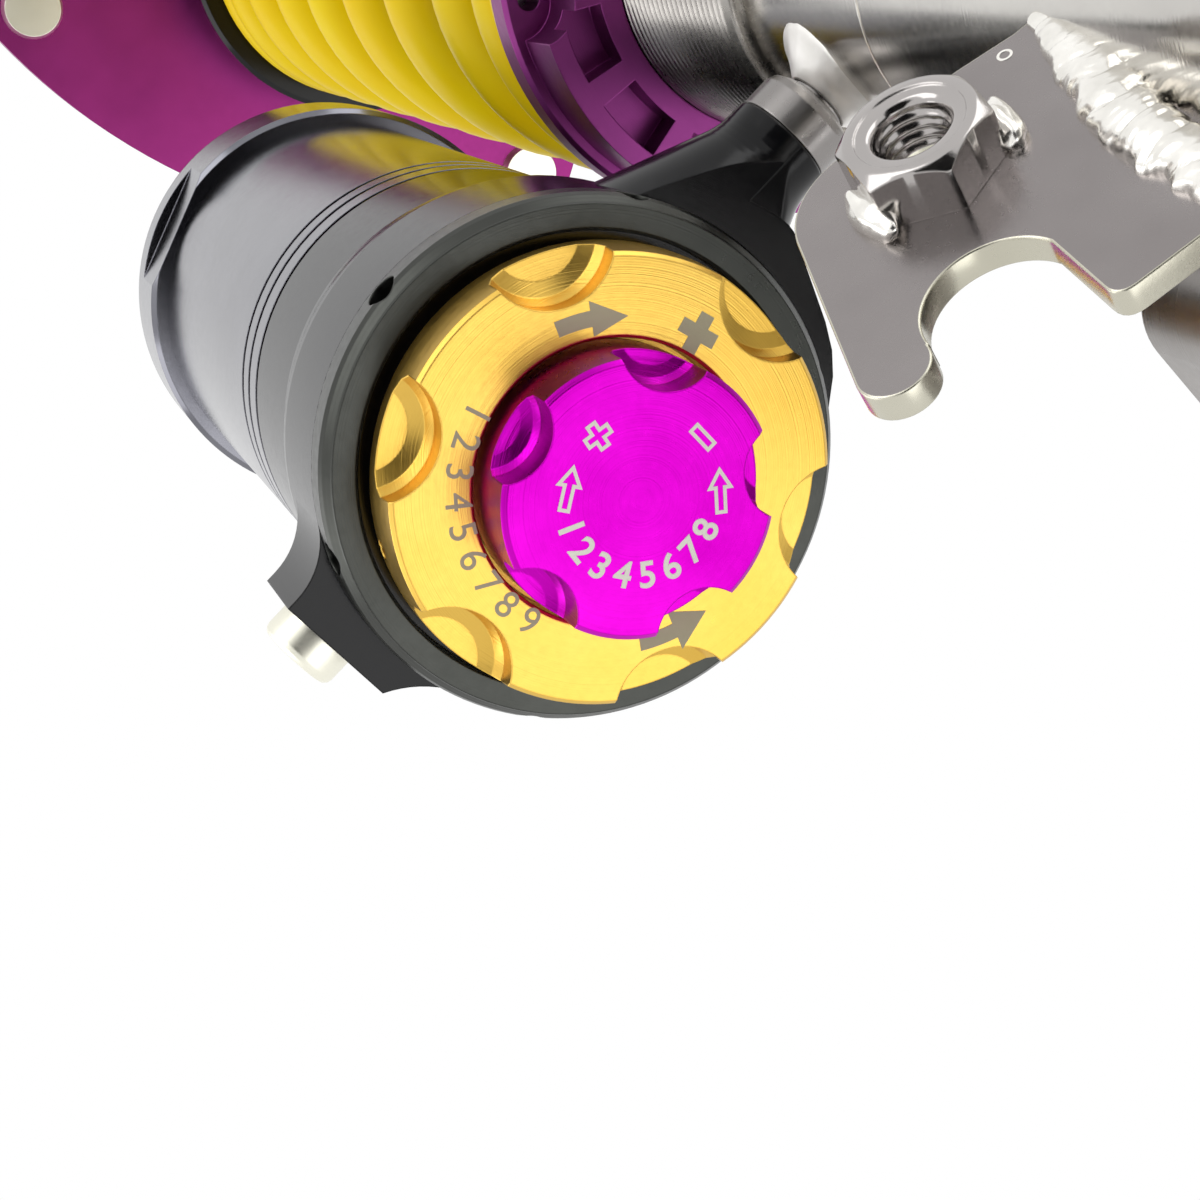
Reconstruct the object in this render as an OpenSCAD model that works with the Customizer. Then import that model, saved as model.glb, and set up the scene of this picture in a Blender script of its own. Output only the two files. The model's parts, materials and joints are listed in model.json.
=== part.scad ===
// Suspension strut coilover with an external adjuster and gas reservoir.
// Origin: centre of the three tower studs, on the upper face of the top plate.
// Z points up along the strut, X points from the strut towards the reservoir.
// All sizes are in millimetres.

/* [Top mount] */
// distance from the strut axis to each tower stud
stud_circle_radius = 82.5; // [78:0.5:88]
// radius left round each corner of the top plate
plate_corner_radius = 12; // [11:0.5:16]
// thickness of the top plate
plate_thickness = 10; // [8:0.5:10]
// radius of each tower stud shank
stud_radius = 5; // [4:0.5:6]
// length of each tower stud above the plate
stud_length = 25; // [15:1:32]
// width of the stud head beyond its serrated neck
stud_head_rim = 2.4; // [1.6:0.1:3.4]

/* [Spring] */
// diameter of the spring wire
wire_diameter = 10.6; // [9.5:0.1:11]
// gap between the threaded sleeve and the inside of the spring
spring_clearance = 1.6; // [1.2:0.1:2.4]
// spacing of the free middle coils
coil_pitch = 37; // [33:0.5:38]
// turn angle of the spring about its own axis, in degrees
spring_phase = 0; // [0:15:345]
// facets round the wire
wire_sides = 8; // [6:1:10]

/* [Spring perch] */
// width of the perch flange beyond the raised front part
perch_rim = 2; // [1.6:0.1:3]
// number of lightening pockets in the perch
perch_pockets = 15; // [10:1:15]
// depth of the perch pockets
perch_pocket_depth = 6; // [3:0.5:8]

/* [Strut] */
// outer radius of the polished strut tube
tube_radius = 23; // [21:0.5:25]
// wall of the strut tube round the damper bore
tube_wall = 3; // [2.5:0.1:4]
// wall of the threaded sleeve
sleeve_wall = 3; // [2:0.1:4]
// radius of the piston rod
rod_radius = 11; // [10:0.5:11.5]

/* [Reservoir] */
// outer radius of the reservoir head and its front ring
reservoir_radius = 32.8; // [31:0.1:35]
// step from the head down to the reservoir tube
tube_step = 1.8; // [1:0.1:2.4]
// wall of the reservoir tube
reservoir_wall = 3.6; // [3:0.1:4.4]
// thickness of the head block at the ear and neck
head_block_thickness = 14; // [13:0.5:14]
// width of the ear on the head block
ear_width = 14.5; // [13:0.5:15]

/* [Adjusters] */
// width of the head ring from its bore to its outer edge
ring_width = 4.45; // [3.6:0.05:5]
// number of finger scallops on the high speed knob
high_knob_scallops = 6; // [4:1:8]
// outer radius of the low speed knob
low_knob_radius = 16.5; // [15:0.1:17]
// number of finger scallops on the low speed knob
low_knob_scallops = 5; // [4:1:6]

/* [Brackets] */
// thickness of the link bracket plate
link_plate_thickness = 3.2; // [2.5:0.1:5]
// distance across the flats of the weld nut
nut_across_flats = 14; // [13:0.5:15]
// wall radius of the thread in the weld nut
link_thread_radius = 3.4; // [3:0.1:3.6]
// thickness of the knuckle bracket sheet
knuckle_sheet = 5; // [4:0.5:6]
// wall radius of the knuckle bolt holes
knuckle_hole_radius = 7.25; // [6:0.25:8.25]

/* [Hidden] */
$fn = 64;

// clearances
slide_gap = 0.05;
seal_gap = 0.03;
knob_gap = 0.75;

// radii that follow outwards from the strut axis
port_radius = 2.5;
rod_bore_radius = 3;
stub_radius = 7;
piston_stub_radius = stub_radius + 1;
wiper_radius = rod_radius + 3.5;
rod_seal_radius = rod_radius + 5.5;
damper_bore_radius = tube_radius - tube_wall;
foot_bore_radius = tube_radius - 3.5;
sleeve_radius = tube_radius + sleeve_wall;
spring_inner_radius = sleeve_radius + spring_clearance;
spring_outer_radius = spring_inner_radius + wire_diameter;
seat_spigot_radius = spring_inner_radius - 0.7;
seat_bore_radius = spring_inner_radius - 4;
cup_radius = seat_bore_radius - 0.2;
cup_bore_radius = cup_radius - 2.2;
stop_radius = cup_bore_radius - 0.3;
seat_radius = spring_outer_radius + 4.3;
perch_plateau_radius = spring_outer_radius + 0.2;
perch_flange_radius = perch_plateau_radius + perch_rim;
perch_bore_radius = sleeve_radius + slide_gap;

// top mount
stud_neck_radius = stud_radius + 0.6;
stud_head_radius = stud_neck_radius + stud_head_rim;
stud_head_height = 3;
first_stud_angle = 33;
hub_radius = 30;
hub_low = -20;
bearing_radius = 15;
bearing_low = -15;
bearing_top = -4;
ball_radius = 12;
ball_level = -9.5;
race_thickness = 1.5;
race_radius = 29;
race_bore_radius = 17;
cage_level = -23;
needle_count = 16;
needle_radius = 1.47;
needle_slot_length = race_radius - race_bore_radius - 3;
needle_length = needle_slot_length - 0.4;
rod_top = 22;
shoulder_level = -22;

// strut levels
tube_top = -206;
tube_joint = -406.6;
foot_bottom = -575;
sleeve_low = -370;
sleeve_top = tube_top - 12;
guide_low = tube_top - 29;
seal_low = tube_top - 15;
gland_low = tube_top - 8;
wiper_low = tube_top - 3;
gland_top = tube_top + 3;
oring_section = 0.8;
oring_depth = 2 * oring_section;
oring_width = 3;
guide_groove = tube_top - 23;
plug_groove = tube_joint + 4.1;
plug_top = tube_joint + 10.6;

// rod and piston levels
piston_top = tube_top - 38;
piston_low = piston_top - 18;
shim_thickness = 1.2;
shim_stack = 2.5;
rod_bottom = piston_low - 15;

// reservoir
head_low = -393.5;
gallery_level = head_low + head_block_thickness / 2;
collar_height = 4;
ring_face = head_low - 6;
head_step = head_low + 16.5;
head_waist = head_step + 10;
head_joint = -345.8;
cap_low = -261.5;
reservoir_top = -240;
neck_start = tube_radius + 9;
reservoir_x = neck_start + 14.55 + reservoir_radius;
reservoir_y = -6;
ear_end = reservoir_x + reservoir_radius + 4.75;
plug_screw_radius = 3.4;
reservoir_tube_radius = reservoir_radius - tube_step;
reservoir_bore_radius = reservoir_tube_radius - reservoir_wall;
cap_radius = reservoir_tube_radius + 2.6;
collar_radius = reservoir_radius - 2.8;
valve_radius = collar_radius - 4;
chamber_radius = reservoir_bore_radius - 3.4;
valve_top = head_low + 21.5;
spindle_radius = 7;
needle_stem_radius = 4;
gas_valve_radius = 3.5;
gas_piston_low = -312;
gas_piston_height = 15;

// adjusters
high_knob_radius = reservoir_radius - ring_width - knob_gap;
ring_bore_radius = high_knob_radius + knob_gap;
knob_base = ring_face - 1.7;
knob_face = -410;
knob_floor = -405;
low_knob_base = knob_floor - 0.6;
low_knob_face = -419.4;
knob_recess_radius = low_knob_radius + 0.7;

// spring seats
seat_face = -34;
perch_low = -329.3;
flange_low = -317;
perch_top = -310;
slip_ring_thickness = 1.5;
spring_low = perch_top + slip_ring_thickness;
wire_radius = wire_diameter / 2;
coil_radius = spring_outer_radius - wire_radius;

// link bracket plane
link_x = tube_radius + 16.8;
link_y = 11.6;
link_z = -457.6;
link_tilt = -109;
link_swing = 7.5;
nut_height = 6;

// knuckle bracket
channel_half = tube_radius + knuckle_sheet;
channel_top = -437;
channel_low = -555;
ear_reach = -80;
bolt_y = -55;
upper_bolt = -470;
lower_bolt = -530;
flange_corner_radius = 14;

steel = [0.78, 0.77, 0.74];
dark_steel = [0.35, 0.34, 0.34];
black = [0.05, 0.05, 0.055];
purple = [0.5, 0.1, 0.42];
gold = [0.9, 0.62, 0.08];

// ---- helpers ----

// plain tube section between two levels
module ring(outer, inner, low, high) {
  translate([0, 0, low]) difference() {
    cylinder(h = high - low, r = outer);
    translate([0, 0, -1]) cylinder(h = high - low + 2, r = inner);
  }
}

// solid turned from a half outline of radius and level pairs
module turned(points) {
  rotate_extrude() polygon(points);
}

// upright hexagonal prism, sized across its flats
module hexagon(flats, height) {
  c = flats / 2 / cos(30);
  linear_extrude(height) polygon([for (k = [0:5]) [c * cos(60 * k), c * sin(60 * k)]]);
}

// round seal ring
module seal_ring(centre_radius, section, level) {
  translate([0, 0, level]) rotate_extrude($fn = 48)
    translate([centre_radius, 0]) circle(r = section, $fn = 16);
}

// place children on the reservoir axis
module at_reservoir() {
  translate([reservoir_x, reservoir_y, 0]) children();
}

// lay children turned about Z along the gallery axis, pointing +X
module along_gallery() {
  translate([0, 0, gallery_level]) rotate([0, 90, 0]) children();
}

// place children on the link bracket plane
module on_link_plane() {
  translate([link_x, link_y, link_z]) rotate([link_tilt, 0, link_swing]) children();
}

// place children at each tower stud
module at_studs() {
  for (k = [0:2]) rotate(first_stud_angle + 120 * k) translate([stud_circle_radius, 0, 0])
    children();
}

// solid block round the strut axis between two levels, for cutting
module strut_core(radius, low, high) {
  translate([0, 0, low]) cylinder(h = high - low, r = radius);
}

// ---- top mount ----

module side_circle(k) {
  rotate(first_stud_angle + 120 * k) translate([stud_circle_radius, 0])
    circle(r = stud_circle_radius * sqrt(3) + plate_corner_radius, $fn = 180);
}

module plate_outline() {
  reach = stud_circle_radius * 0.63;
  difference() {
    intersection() {
      side_circle(0);
      side_circle(1);
      side_circle(2);
    }
    at_studs() difference() {
      polygon([[0, 0], [reach, -reach * tan(30)], [reach, reach * tan(30)]]);
      circle(r = plate_corner_radius);
    }
  }
}

module top_plate() {
  circlip_groove = 1.4;
  color(purple) difference() {
    union() {
      translate([0, 0, -plate_thickness])
        linear_extrude(plate_thickness) plate_outline();
      translate([0, 0, hub_low]) cylinder(h = -hub_low - plate_thickness / 2, r = hub_radius);
    }
    translate([0, 0, bearing_low]) cylinder(h = -bearing_low + 1, r = bearing_radius);
    translate([0, 0, hub_low - 1]) cylinder(h = bearing_low - hub_low + 5, r = ball_radius);
    translate([0, 0, bearing_top]) cylinder(h = circlip_groove, r = bearing_radius + 1);
    at_studs() translate([0, 0, hub_low]) cylinder(h = 4 - hub_low, r = stud_neck_radius);
  }
}

module tower_studs() {
  chamfer = 1;
  color(steel) at_studs() {
    translate([0, 0, -plate_thickness - stud_head_height]) cylinder(h = stud_head_height,
      r1 = stud_head_radius - 0.8, r2 = stud_head_radius);
    translate([0, 0, -plate_thickness - 0.5])
      cylinder(h = plate_thickness + 0.5, r = stud_neck_radius);
    translate([0, 0, -1]) cylinder(h = stud_length + 1 - chamfer, r = stud_radius);
    translate([0, 0, stud_length - chamfer - 0.01]) cylinder(h = chamfer + 0.01,
      r1 = stud_radius, r2 = stud_radius - chamfer);
  }
}

module bearing_race() {
  color(steel) difference() {
    translate([0, 0, bearing_low]) cylinder(h = bearing_top - bearing_low, r = bearing_radius);
    translate([0, 0, ball_level]) sphere(r = ball_radius + 0.08);
  }
}

module bearing_circlip() {
  color(dark_steel) translate([0, 0, bearing_top]) difference() {
    cylinder(h = 1.4, r = bearing_radius + 0.9);
    translate([0, 0, -1]) cylinder(h = 4, r = bearing_radius - 2);
    translate([0, -3, -1]) cube([20, 6, 4]);
  }
}

module thrust_race_upper() {
  color(steel) ring(race_radius, race_bore_radius, hub_low - race_thickness, hub_low);
}

module thrust_cage() {
  slot_width = 2 * needle_radius + 0.26;
  color(dark_steel) difference() {
    ring(race_radius - 0.4, race_bore_radius + 0.6, cage_level - 0.9, cage_level + 0.9);
    for (k = [0:needle_count - 1]) rotate(360 / needle_count * k)
      translate([race_bore_radius + 1.6, -slot_width / 2, cage_level - 2])
        cube([needle_slot_length, slot_width, 4]);
  }
}

module thrust_needles() {
  color(steel) for (k = [0:needle_count - 1]) rotate(360 / needle_count * k)
    translate([race_bore_radius + 1.8, 0, cage_level]) rotate([0, 90, 0])
      cylinder(h = needle_length, r = needle_radius, $fn = 16);
}

// ---- rod ----

module piston_rod() {
  color(steel) difference() {
    turned([[rod_bore_radius, rod_bottom], [piston_stub_radius, rod_bottom],
      [piston_stub_radius, piston_top + shim_stack], [rod_radius, piston_top + shim_stack],
      [rod_radius, shoulder_level - 1], [rod_radius - 1, shoulder_level],
      [stub_radius, shoulder_level], [stub_radius, rod_top - 1], [stub_radius - 1, rod_top],
      [rod_bore_radius, rod_top]]);
    translate([0, 0, piston_top + 4]) rotate([90, 0, 0]) cylinder(h = 40, r = 2, center = true);
  }
}

module bearing_ball() {
  color(steel) difference() {
    translate([0, 0, ball_level]) sphere(r = ball_radius);
    translate([0, 0, ball_level - 20.5]) cylinder(h = 13, r = 20);
    translate([0, 0, ball_level + 7.5]) cylinder(h = 13, r = 20);
    translate([0, 0, ball_level - 20]) cylinder(h = 40, r = stub_radius);
  }
}

module ball_spacers() {
  color(steel) {
    ring(stub_radius + 2, stub_radius, shoulder_level, ball_level - 7.5);
    ring(stub_radius + 2, stub_radius, ball_level + 7.5, 1);
  }
}

module rod_top_nut() {
  height = 11;
  flats = 22;
  corner = flats / 2 / cos(30);
  color(steel) translate([0, 0, 1]) difference() {
    intersection() {
      turned([[0, 0], [corner - 1.3, 0], [corner, 0.8], [corner, height - 0.8],
        [corner - 1.3, height], [0, height]]);
      hexagon(flats, height);
    }
    translate([0, 0, -1]) cylinder(h = height + 3, r = stub_radius);
  }
}

module thrust_race_lower() {
  top = cage_level - race_thickness;
  color(steel) ring(race_radius, race_bore_radius, top - race_thickness, top);
}

module upper_spring_seat() {
  bore = rod_radius + slide_gap;
  color(black) turned([[bore, seat_face + 1], [seat_bore_radius, seat_face + 1],
    [seat_bore_radius, seat_face - 9], [seat_bore_radius + 1, seat_face - 10],
    [seat_spigot_radius - 0.5, seat_face - 10], [seat_spigot_radius, seat_face - 9],
    [seat_spigot_radius, seat_face], [seat_radius - 1, seat_face],
    [seat_radius, seat_face + 1], [seat_radius, seat_face + 4],
    [seat_radius - 1, seat_face + 5], [race_radius + 5, seat_face + 5],
    [race_radius + 4, seat_face + 8], [bore, seat_face + 8]]);
}

module bump_cup() {
  color(dark_steel) turned([[rod_radius + slide_gap, seat_face - 1],
    [cup_bore_radius, seat_face - 1], [cup_bore_radius, seat_face - 10],
    [cup_radius, seat_face - 10], [cup_radius, seat_face + 1],
    [rod_radius + slide_gap, seat_face + 1]]);
}

module bump_stop() {
  bore = rod_radius + 0.3;
  top = seat_face - 1;
  color([0.75, 0.7, 0.25]) turned([[bore, top - 57.5], [stop_radius - 5.9, top - 57.5],
    [stop_radius - 4.4, top - 55], [stop_radius - 4.4, top - 47],
    [stop_radius - 6.4, top - 43.5], [stop_radius - 6.4, top - 41.5],
    [stop_radius - 2.4, top - 38], [stop_radius - 2.4, top - 29],
    [stop_radius - 4.4, top - 25.5], [stop_radius - 4.4, top - 23.5],
    [stop_radius, top - 20], [stop_radius, top], [bore, top]]);
}

module damper_piston() {
  passage_circle = (piston_stub_radius + damper_bore_radius - 2) / 2;
  color(steel) difference() {
    ring(damper_bore_radius - 0.4, piston_stub_radius, piston_low, piston_top);
    ring(damper_bore_radius + 1, damper_bore_radius - 2, piston_low + 5, piston_top - 3);
    for (k = [0:5]) rotate(60 * k) translate([passage_circle, 0, piston_low - 1])
      cylinder(h = piston_top - piston_low + 2, r = 2);
  }
}

module piston_band() {
  color(black) ring(damper_bore_radius - slide_gap, damper_bore_radius - 2,
    piston_low + 5, piston_top - 3);
}

module piston_shims() {
  wide = damper_bore_radius - 4.5;
  narrow = piston_stub_radius + 4;
  color(steel) {
    ring(wide, piston_stub_radius, piston_top, piston_top + shim_thickness);
    ring(narrow, piston_stub_radius, piston_top + shim_thickness, piston_top + shim_stack);
    ring(wide, piston_stub_radius, piston_low - shim_thickness, piston_low);
    ring(narrow, piston_stub_radius, piston_low - shim_stack, piston_low - shim_thickness);
  }
}

module piston_nut() {
  low = rod_bottom + 1.5;
  color(steel) translate([0, 0, low]) difference() {
    hexagon(22, piston_low - shim_stack - low);
    translate([0, 0, -1]) cylinder(h = 30, r = piston_stub_radius);
  }
}

module rebound_knob() {
  grip = 9;
  low = rod_top + 0.3;
  color([0.85, 0.6, 0.1]) difference() {
    turned([[0, rod_top + 12], [grip - 1, rod_top + 12], [grip, rod_top + 11],
      [grip, rod_top + 2], [grip - 0.6, low + 1], [grip - 3, low],
      [rod_bore_radius - 0.1, low], [rod_bore_radius - 0.1, rod_top + 6], [0, rod_top + 6]]);
    for (k = [0:7]) rotate(45 * k) translate([grip + 1.6, 0, rod_top - 2])
      cylinder(h = 20, r = 2.6);
  }
}

module rebound_rod() {
  guide = rod_bore_radius - slide_gap;
  color(steel) turned([[0, rod_bottom - 3], [1.2, rod_bottom - 3], [guide, rod_bottom + 6],
    [guide, rod_bottom + 9], [1.8, rod_bottom + 10], [1.8, piston_top + 8],
    [guide, piston_top + 9], [guide, rod_top + 0.1], [rod_bore_radius - 0.1, rod_top + 0.3],
    [rod_bore_radius - 0.1, rod_top + 6], [0, rod_top + 6]]);
}

// ---- strut ----

module strut_tube() {
  color(steel) difference() {
    ring(tube_radius, damper_bore_radius, tube_joint, tube_top);
    along_gallery() cylinder(h = 40, r = needle_stem_radius + slide_gap);
  }
}

module thread_sleeve() {
  color(steel) turned([[tube_radius, sleeve_low], [sleeve_radius - 1, sleeve_low],
    [sleeve_radius, sleeve_low + 1.2], [sleeve_radius, sleeve_top - 1.2],
    [sleeve_radius - 1, sleeve_top], [tube_radius, sleeve_top]]);
}

module rod_guide() {
  bore = rod_radius + slide_gap + 0.01;
  color(steel) difference() {
    turned([[bore, guide_low], [damper_bore_radius, guide_low],
      [damper_bore_radius, gland_low], [rod_seal_radius, gland_low],
      [rod_seal_radius, seal_low], [bore, seal_low]]);
    ring(damper_bore_radius + 1, damper_bore_radius - oring_depth, guide_groove,
      guide_groove + oring_width);
  }
}

module rod_seal() {
  color(black) ring(rod_seal_radius, rod_radius + seal_gap, seal_low, gland_low);
}

module gland_nut() {
  bore = rod_radius + 0.6;
  pin_radius = 1.5;
  pin_circle = (wiper_radius + tube_radius) / 2;
  color(dark_steel) difference() {
    turned([[bore, gland_low], [damper_bore_radius, gland_low], [damper_bore_radius, tube_top],
      [tube_radius, tube_top], [tube_radius, gland_top - 0.5], [tube_radius - 0.5, gland_top],
      [wiper_radius, gland_top], [wiper_radius, wiper_low], [bore, wiper_low]]);
    for (k = [0:3]) rotate(90 * k + 45) translate([pin_circle, 0, tube_top - 1])
      cylinder(h = 5, r = pin_radius);
  }
}

module rod_wiper() {
  bore = rod_radius + seal_gap;
  color(black) turned([[rod_radius + 0.5, wiper_low], [wiper_radius, wiper_low],
    [wiper_radius, gland_top], [bore, gland_top], [bore, gland_top - 2]]);
}

module damper_orings() {
  color(black) for (level = [guide_groove, plug_groove])
    seal_ring(damper_bore_radius - oring_section, oring_section, level + oring_width / 2);
}

module base_plug() {
  color(steel) difference() {
    strut_core(damper_bore_radius, tube_joint, plug_top);
    ring(damper_bore_radius + 1, damper_bore_radius - oring_depth, plug_groove,
      plug_groove + oring_width);
  }
}

module foot_tube() {
  color(steel) turned([[foot_bore_radius, foot_bottom], [tube_radius, foot_bottom],
    [tube_radius, tube_joint - 0.6], [tube_radius - 0.6, tube_joint],
    [foot_bore_radius, tube_joint]]);
}

module foot_cap() {
  color(steel) strut_core(foot_bore_radius, foot_bottom, foot_bottom + 4);
}

module knuckle_outline() {
  bend = knuckle_sheet + 4;
  inner_face = -tube_radius - knuckle_sheet;
  difference() {
    union() {
      translate([-channel_half, ear_reach])
        square([channel_half * 2, -tube_radius - bend - ear_reach]);
      translate([-channel_half + bend, ear_reach])
        square([(channel_half - bend) * 2, -tube_radius - ear_reach]);
      for (s = [-1, 1]) translate([s * (channel_half - bend), -tube_radius - bend])
        circle(r = bend);
    }
    translate([-tube_radius, ear_reach - 1])
      square([tube_radius * 2, inner_face - 4 - ear_reach + 1]);
    translate([-tube_radius + 4, ear_reach])
      square([(tube_radius - 4) * 2, inner_face - ear_reach]);
    for (s = [-1, 1]) translate([s * (tube_radius - 4), inner_face - 4]) circle(r = 4);
  }
}

// rounds off one end corner of both flanges
module flange_corner(level, side) {
  r = flange_corner_radius;
  translate([-60, ear_reach, level]) difference() {
    translate([0, -1, side > 0 ? -r : -1]) cube([120, r + 1, r + 1]);
    translate([-1, r, -r * side]) rotate([0, 90, 0]) cylinder(h = 122, r = r);
  }
}

module knuckle_bracket() {
  color(dark_steel) difference() {
    translate([0, 0, channel_low]) linear_extrude(channel_top - channel_low)
      knuckle_outline();
    for (z = [upper_bolt, lower_bolt]) translate([-60, bolt_y, z]) rotate([0, 90, 0])
      cylinder(h = 120, r = knuckle_hole_radius);
    flange_corner(channel_top, 1);
    flange_corner(channel_low, -1);
  }
}

module knuckle_welds() {
  color(dark_steel) for (s = [-1, 1])
    translate([0, 0, channel_low + 3]) linear_extrude(channel_top - channel_low - 6)
      difference() {
        translate([s > 0 ? 7 : -15, -tube_radius]) square([8, 7]);
        translate([s * 17, -tube_radius + 8]) circle(r = 6, $fn = 32);
        circle(r = tube_radius);
      }
}

// ---- link bracket ----

// outline round two circles, made from their outer tangents
module strip(a, a_radius, b, b_radius) {
  gap = b - a;
  heading = atan2(gap[1], gap[0]);
  turn = acos((a_radius - b_radius) / norm(gap));
  sides = [for (s = [-1, 1]) [cos(heading + s * turn), sin(heading + s * turn)]];
  polygon([a + a_radius * sides[0], b + b_radius * sides[0], b + b_radius * sides[1],
    a + a_radius * sides[1]]);
  translate(a) circle(r = a_radius);
  translate(b) circle(r = b_radius);
}

notch_centre = [7.3, 20.2];
notch_radius = 7.5;

module link_outline() {
  shoulder = [4.6, -0.8];
  shoulder_radius = 10;
  hook = [18.5, 18.2];
  hook_radius = 3.75;
  difference() {
    union() {
      strip(shoulder, shoulder_radius, hook, hook_radius);
      polygon([[-30, -8], [-17.4, -8.2], [-10.7, -9.5], [4, -10.75], [12, 0], [10, 14],
        [notch_centre[0] - notch_radius, notch_centre[1]], [1.2, 28.6], [0.9, 29.4],
        [0.2, 29.9], [-7.5, 30.8], [-30, 33.5]]);
    }
    translate(notch_centre) circle(r = notch_radius);
  }
}

module link_bracket() {
  color([0.55, 0.52, 0.5]) difference() {
    on_link_plane() translate([0, 0, -link_plate_thickness])
      linear_extrude(link_plate_thickness) link_outline();
    strut_core(tube_radius, -600, -200);
    translate([tube_radius / 2 - 100, -100, -600]) cube([100, 200, 300]);
    on_link_plane() translate([0, 0, -20]) cylinder(h = 40, r = link_thread_radius + 1.2);
  }
}

module weld_nut() {
  corner = nut_across_flats / 2 / cos(30);
  edge = nut_across_flats / 2 - 0.15;
  color(steel) on_link_plane() difference() {
    intersection() {
      turned([[0, 0], [corner + 0.2, 0], [corner + 0.2, nut_height - 1], [edge, nut_height],
        [0, nut_height]]);
      rotate(20) hexagon(nut_across_flats, nut_height);
    }
    translate([0, 0, -1]) cylinder(h = nut_height + 2, r = link_thread_radius);
    translate([0, 0, nut_height - 0.9]) cylinder(h = 1, r1 = link_thread_radius,
      r2 = link_thread_radius + 1);
  }
}

weld_radius = 3.2;

module weld_line(height) {
  translate([-18.4, -4, height]) rotate([0, 90, 79]) cylinder(h = 32, r = weld_radius, $fn = 32);
}

module bracket_welds() {
  color(steel) difference() {
    on_link_plane() union() {
      weld_line(-1);
      weld_line(1 - link_plate_thickness);
    }
    on_link_plane() translate([0, 0, -link_plate_thickness])
      linear_extrude(link_plate_thickness) square([100, 120], center = true);
    strut_core(tube_radius, -600, -200);
  }
}

// ---- transfer fitting and head ----

fitting_radius = 6.7;
stem_radius = needle_stem_radius;
socket_radius = 4.9;
neck_radius = fitting_radius + 0.25;

module transfer_fitting() {
  x = tube_radius;
  color(steel) along_gallery() turned([[port_radius, damper_bore_radius + 0.5],
    [stem_radius, damper_bore_radius + 0.5], [stem_radius, x + 3], [5.2, x + 3.3],
    [6.3, x + 4], [fitting_radius, x + 5], [fitting_radius, neck_start],
    [socket_radius, neck_start], [socket_radius, neck_start + 4],
    [stem_radius, neck_start + 4], [stem_radius, neck_start + 6],
    [socket_radius, neck_start + 6], [socket_radius, neck_start + 10],
    [port_radius, neck_start + 10]]);
}

module fitting_oring() {
  color(black) along_gallery()
    ring(socket_radius, stem_radius + slide_gap, neck_start + 4.1, neck_start + 5.9);
}

module transfer_weld() {
  bore = stem_radius + slide_gap;
  x = tube_radius;
  color(steel) difference() {
    along_gallery() turned([[bore, x - 8], [13.5, x - 8], [13.5, x - 1.4], [11.5, x + 0.6],
      [8.5, x + 1.3], [6, x + 1.9], [4.6, x + 2.6], [bore, x + 2.6]]);
    strut_core(tube_radius, -600, -100);
  }
}

// half outline of the neck: a plain collar, a fillet, then a cone that runs into the head
flare_angle = 22;
flare_fillet = 10;
flare_start = neck_start + 2.4;
flare_end = neck_start + 24;

module neck_profile() {
  fillet_end = flare_start + flare_fillet * sin(flare_angle);
  fillet_rise = flare_fillet * (1 - cos(flare_angle));
  cone_rise = (flare_end - fillet_end) * tan(flare_angle);
  polygon(concat([[0, neck_start], [neck_radius - 0.35, neck_start],
    [neck_radius, neck_start + 0.4]],
    [for (a = [0:flare_angle / 4:flare_angle])
      [neck_radius + flare_fillet * (1 - cos(a)), flare_start + flare_fillet * sin(a)]],
    [[neck_radius + fillet_rise + cone_rise, flare_end], [0, flare_end]]));
}

// ear with a fillet on each side into the round head
module ear_plan() {
  half = ear_width / 2;
  up_fillet = 10.3;
  up_reach = reservoir_radius + up_fillet;
  up = half + up_fillet - reservoir_y;
  up_run = sqrt(up_reach * up_reach - up * up);
  up_share = reservoir_radius / up_reach;
  low_fillet = 15;
  low_reach = reservoir_radius + low_fillet;
  low = half + low_fillet + reservoir_y;
  low_run = sqrt(low_reach * low_reach - low * low);
  low_share = reservoir_radius / low_reach;
  x = reservoir_x;
  y = reservoir_y;
  difference() {
    polygon([[x, y], [x + up_run * up_share, y + up * up_share], [x + up_run, y + up],
      [x + up_run, half], [x + low_run + 2, half], [x + low_run + 2, -half],
      [x + low_run, -half], [x + low_run, y - low],
      [x + low_run * low_share, y - low * low_share]]);
    translate([x + up_run, y + up]) circle(r = up_fillet);
    translate([x + low_run, y - low]) circle(r = low_fillet);
    translate([ear_end, -60]) square([60, 120]);
  }
}

// web between the neck and the lower side of the head
module shoulder_plan() {
  x = neck_start;
  polygon([[reservoir_x, 0], [x + 9.6, 0], [x + 8.9, -2.1], [x + 8.3, -4.1], [x + 8.1, -5.8],
    [x + 8.2, -7], [x + 9.2, -9.4], [x + 10.8, -13.3], [x + 12.9, -18.4], [x + 14.7, -21.7],
    [x + 16.9, -24.3], [x + 20, -26.8], [reservoir_x, reservoir_y]]);
}

// round body of the head: full radius at the ear, eased down to the reservoir tube
module head_body() {
  turned(concat([[0, head_low], [reservoir_radius, head_low]],
    [for (t = [0:0.125:1]) [reservoir_radius - tube_step * (1 - cos(180 * t)) / 2,
      head_step + (head_waist - head_step) * t]],
    [[reservoir_tube_radius, head_joint], [0, head_joint]]));
}

module head_solid() {
  translate([0, 0, head_low]) linear_extrude(head_block_thickness) {
    ear_plan();
    shoulder_plan();
  }
  intersection() {
    along_gallery() rotate_extrude() neck_profile();
    translate([0, 0, head_low]) cube([flare_end, 60, head_block_thickness]);
  }
  at_reservoir() {
    head_body();
    translate([0, 0, head_low - collar_height]) cylinder(h = collar_height + 2,
      r = collar_radius);
    translate([0, 0, head_joint - 1]) cylinder(h = 15, r = reservoir_bore_radius);
  }
}

seam_depth = 0.8;
seam_width = 1.4;
spigot_groove = head_joint + 8;

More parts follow.
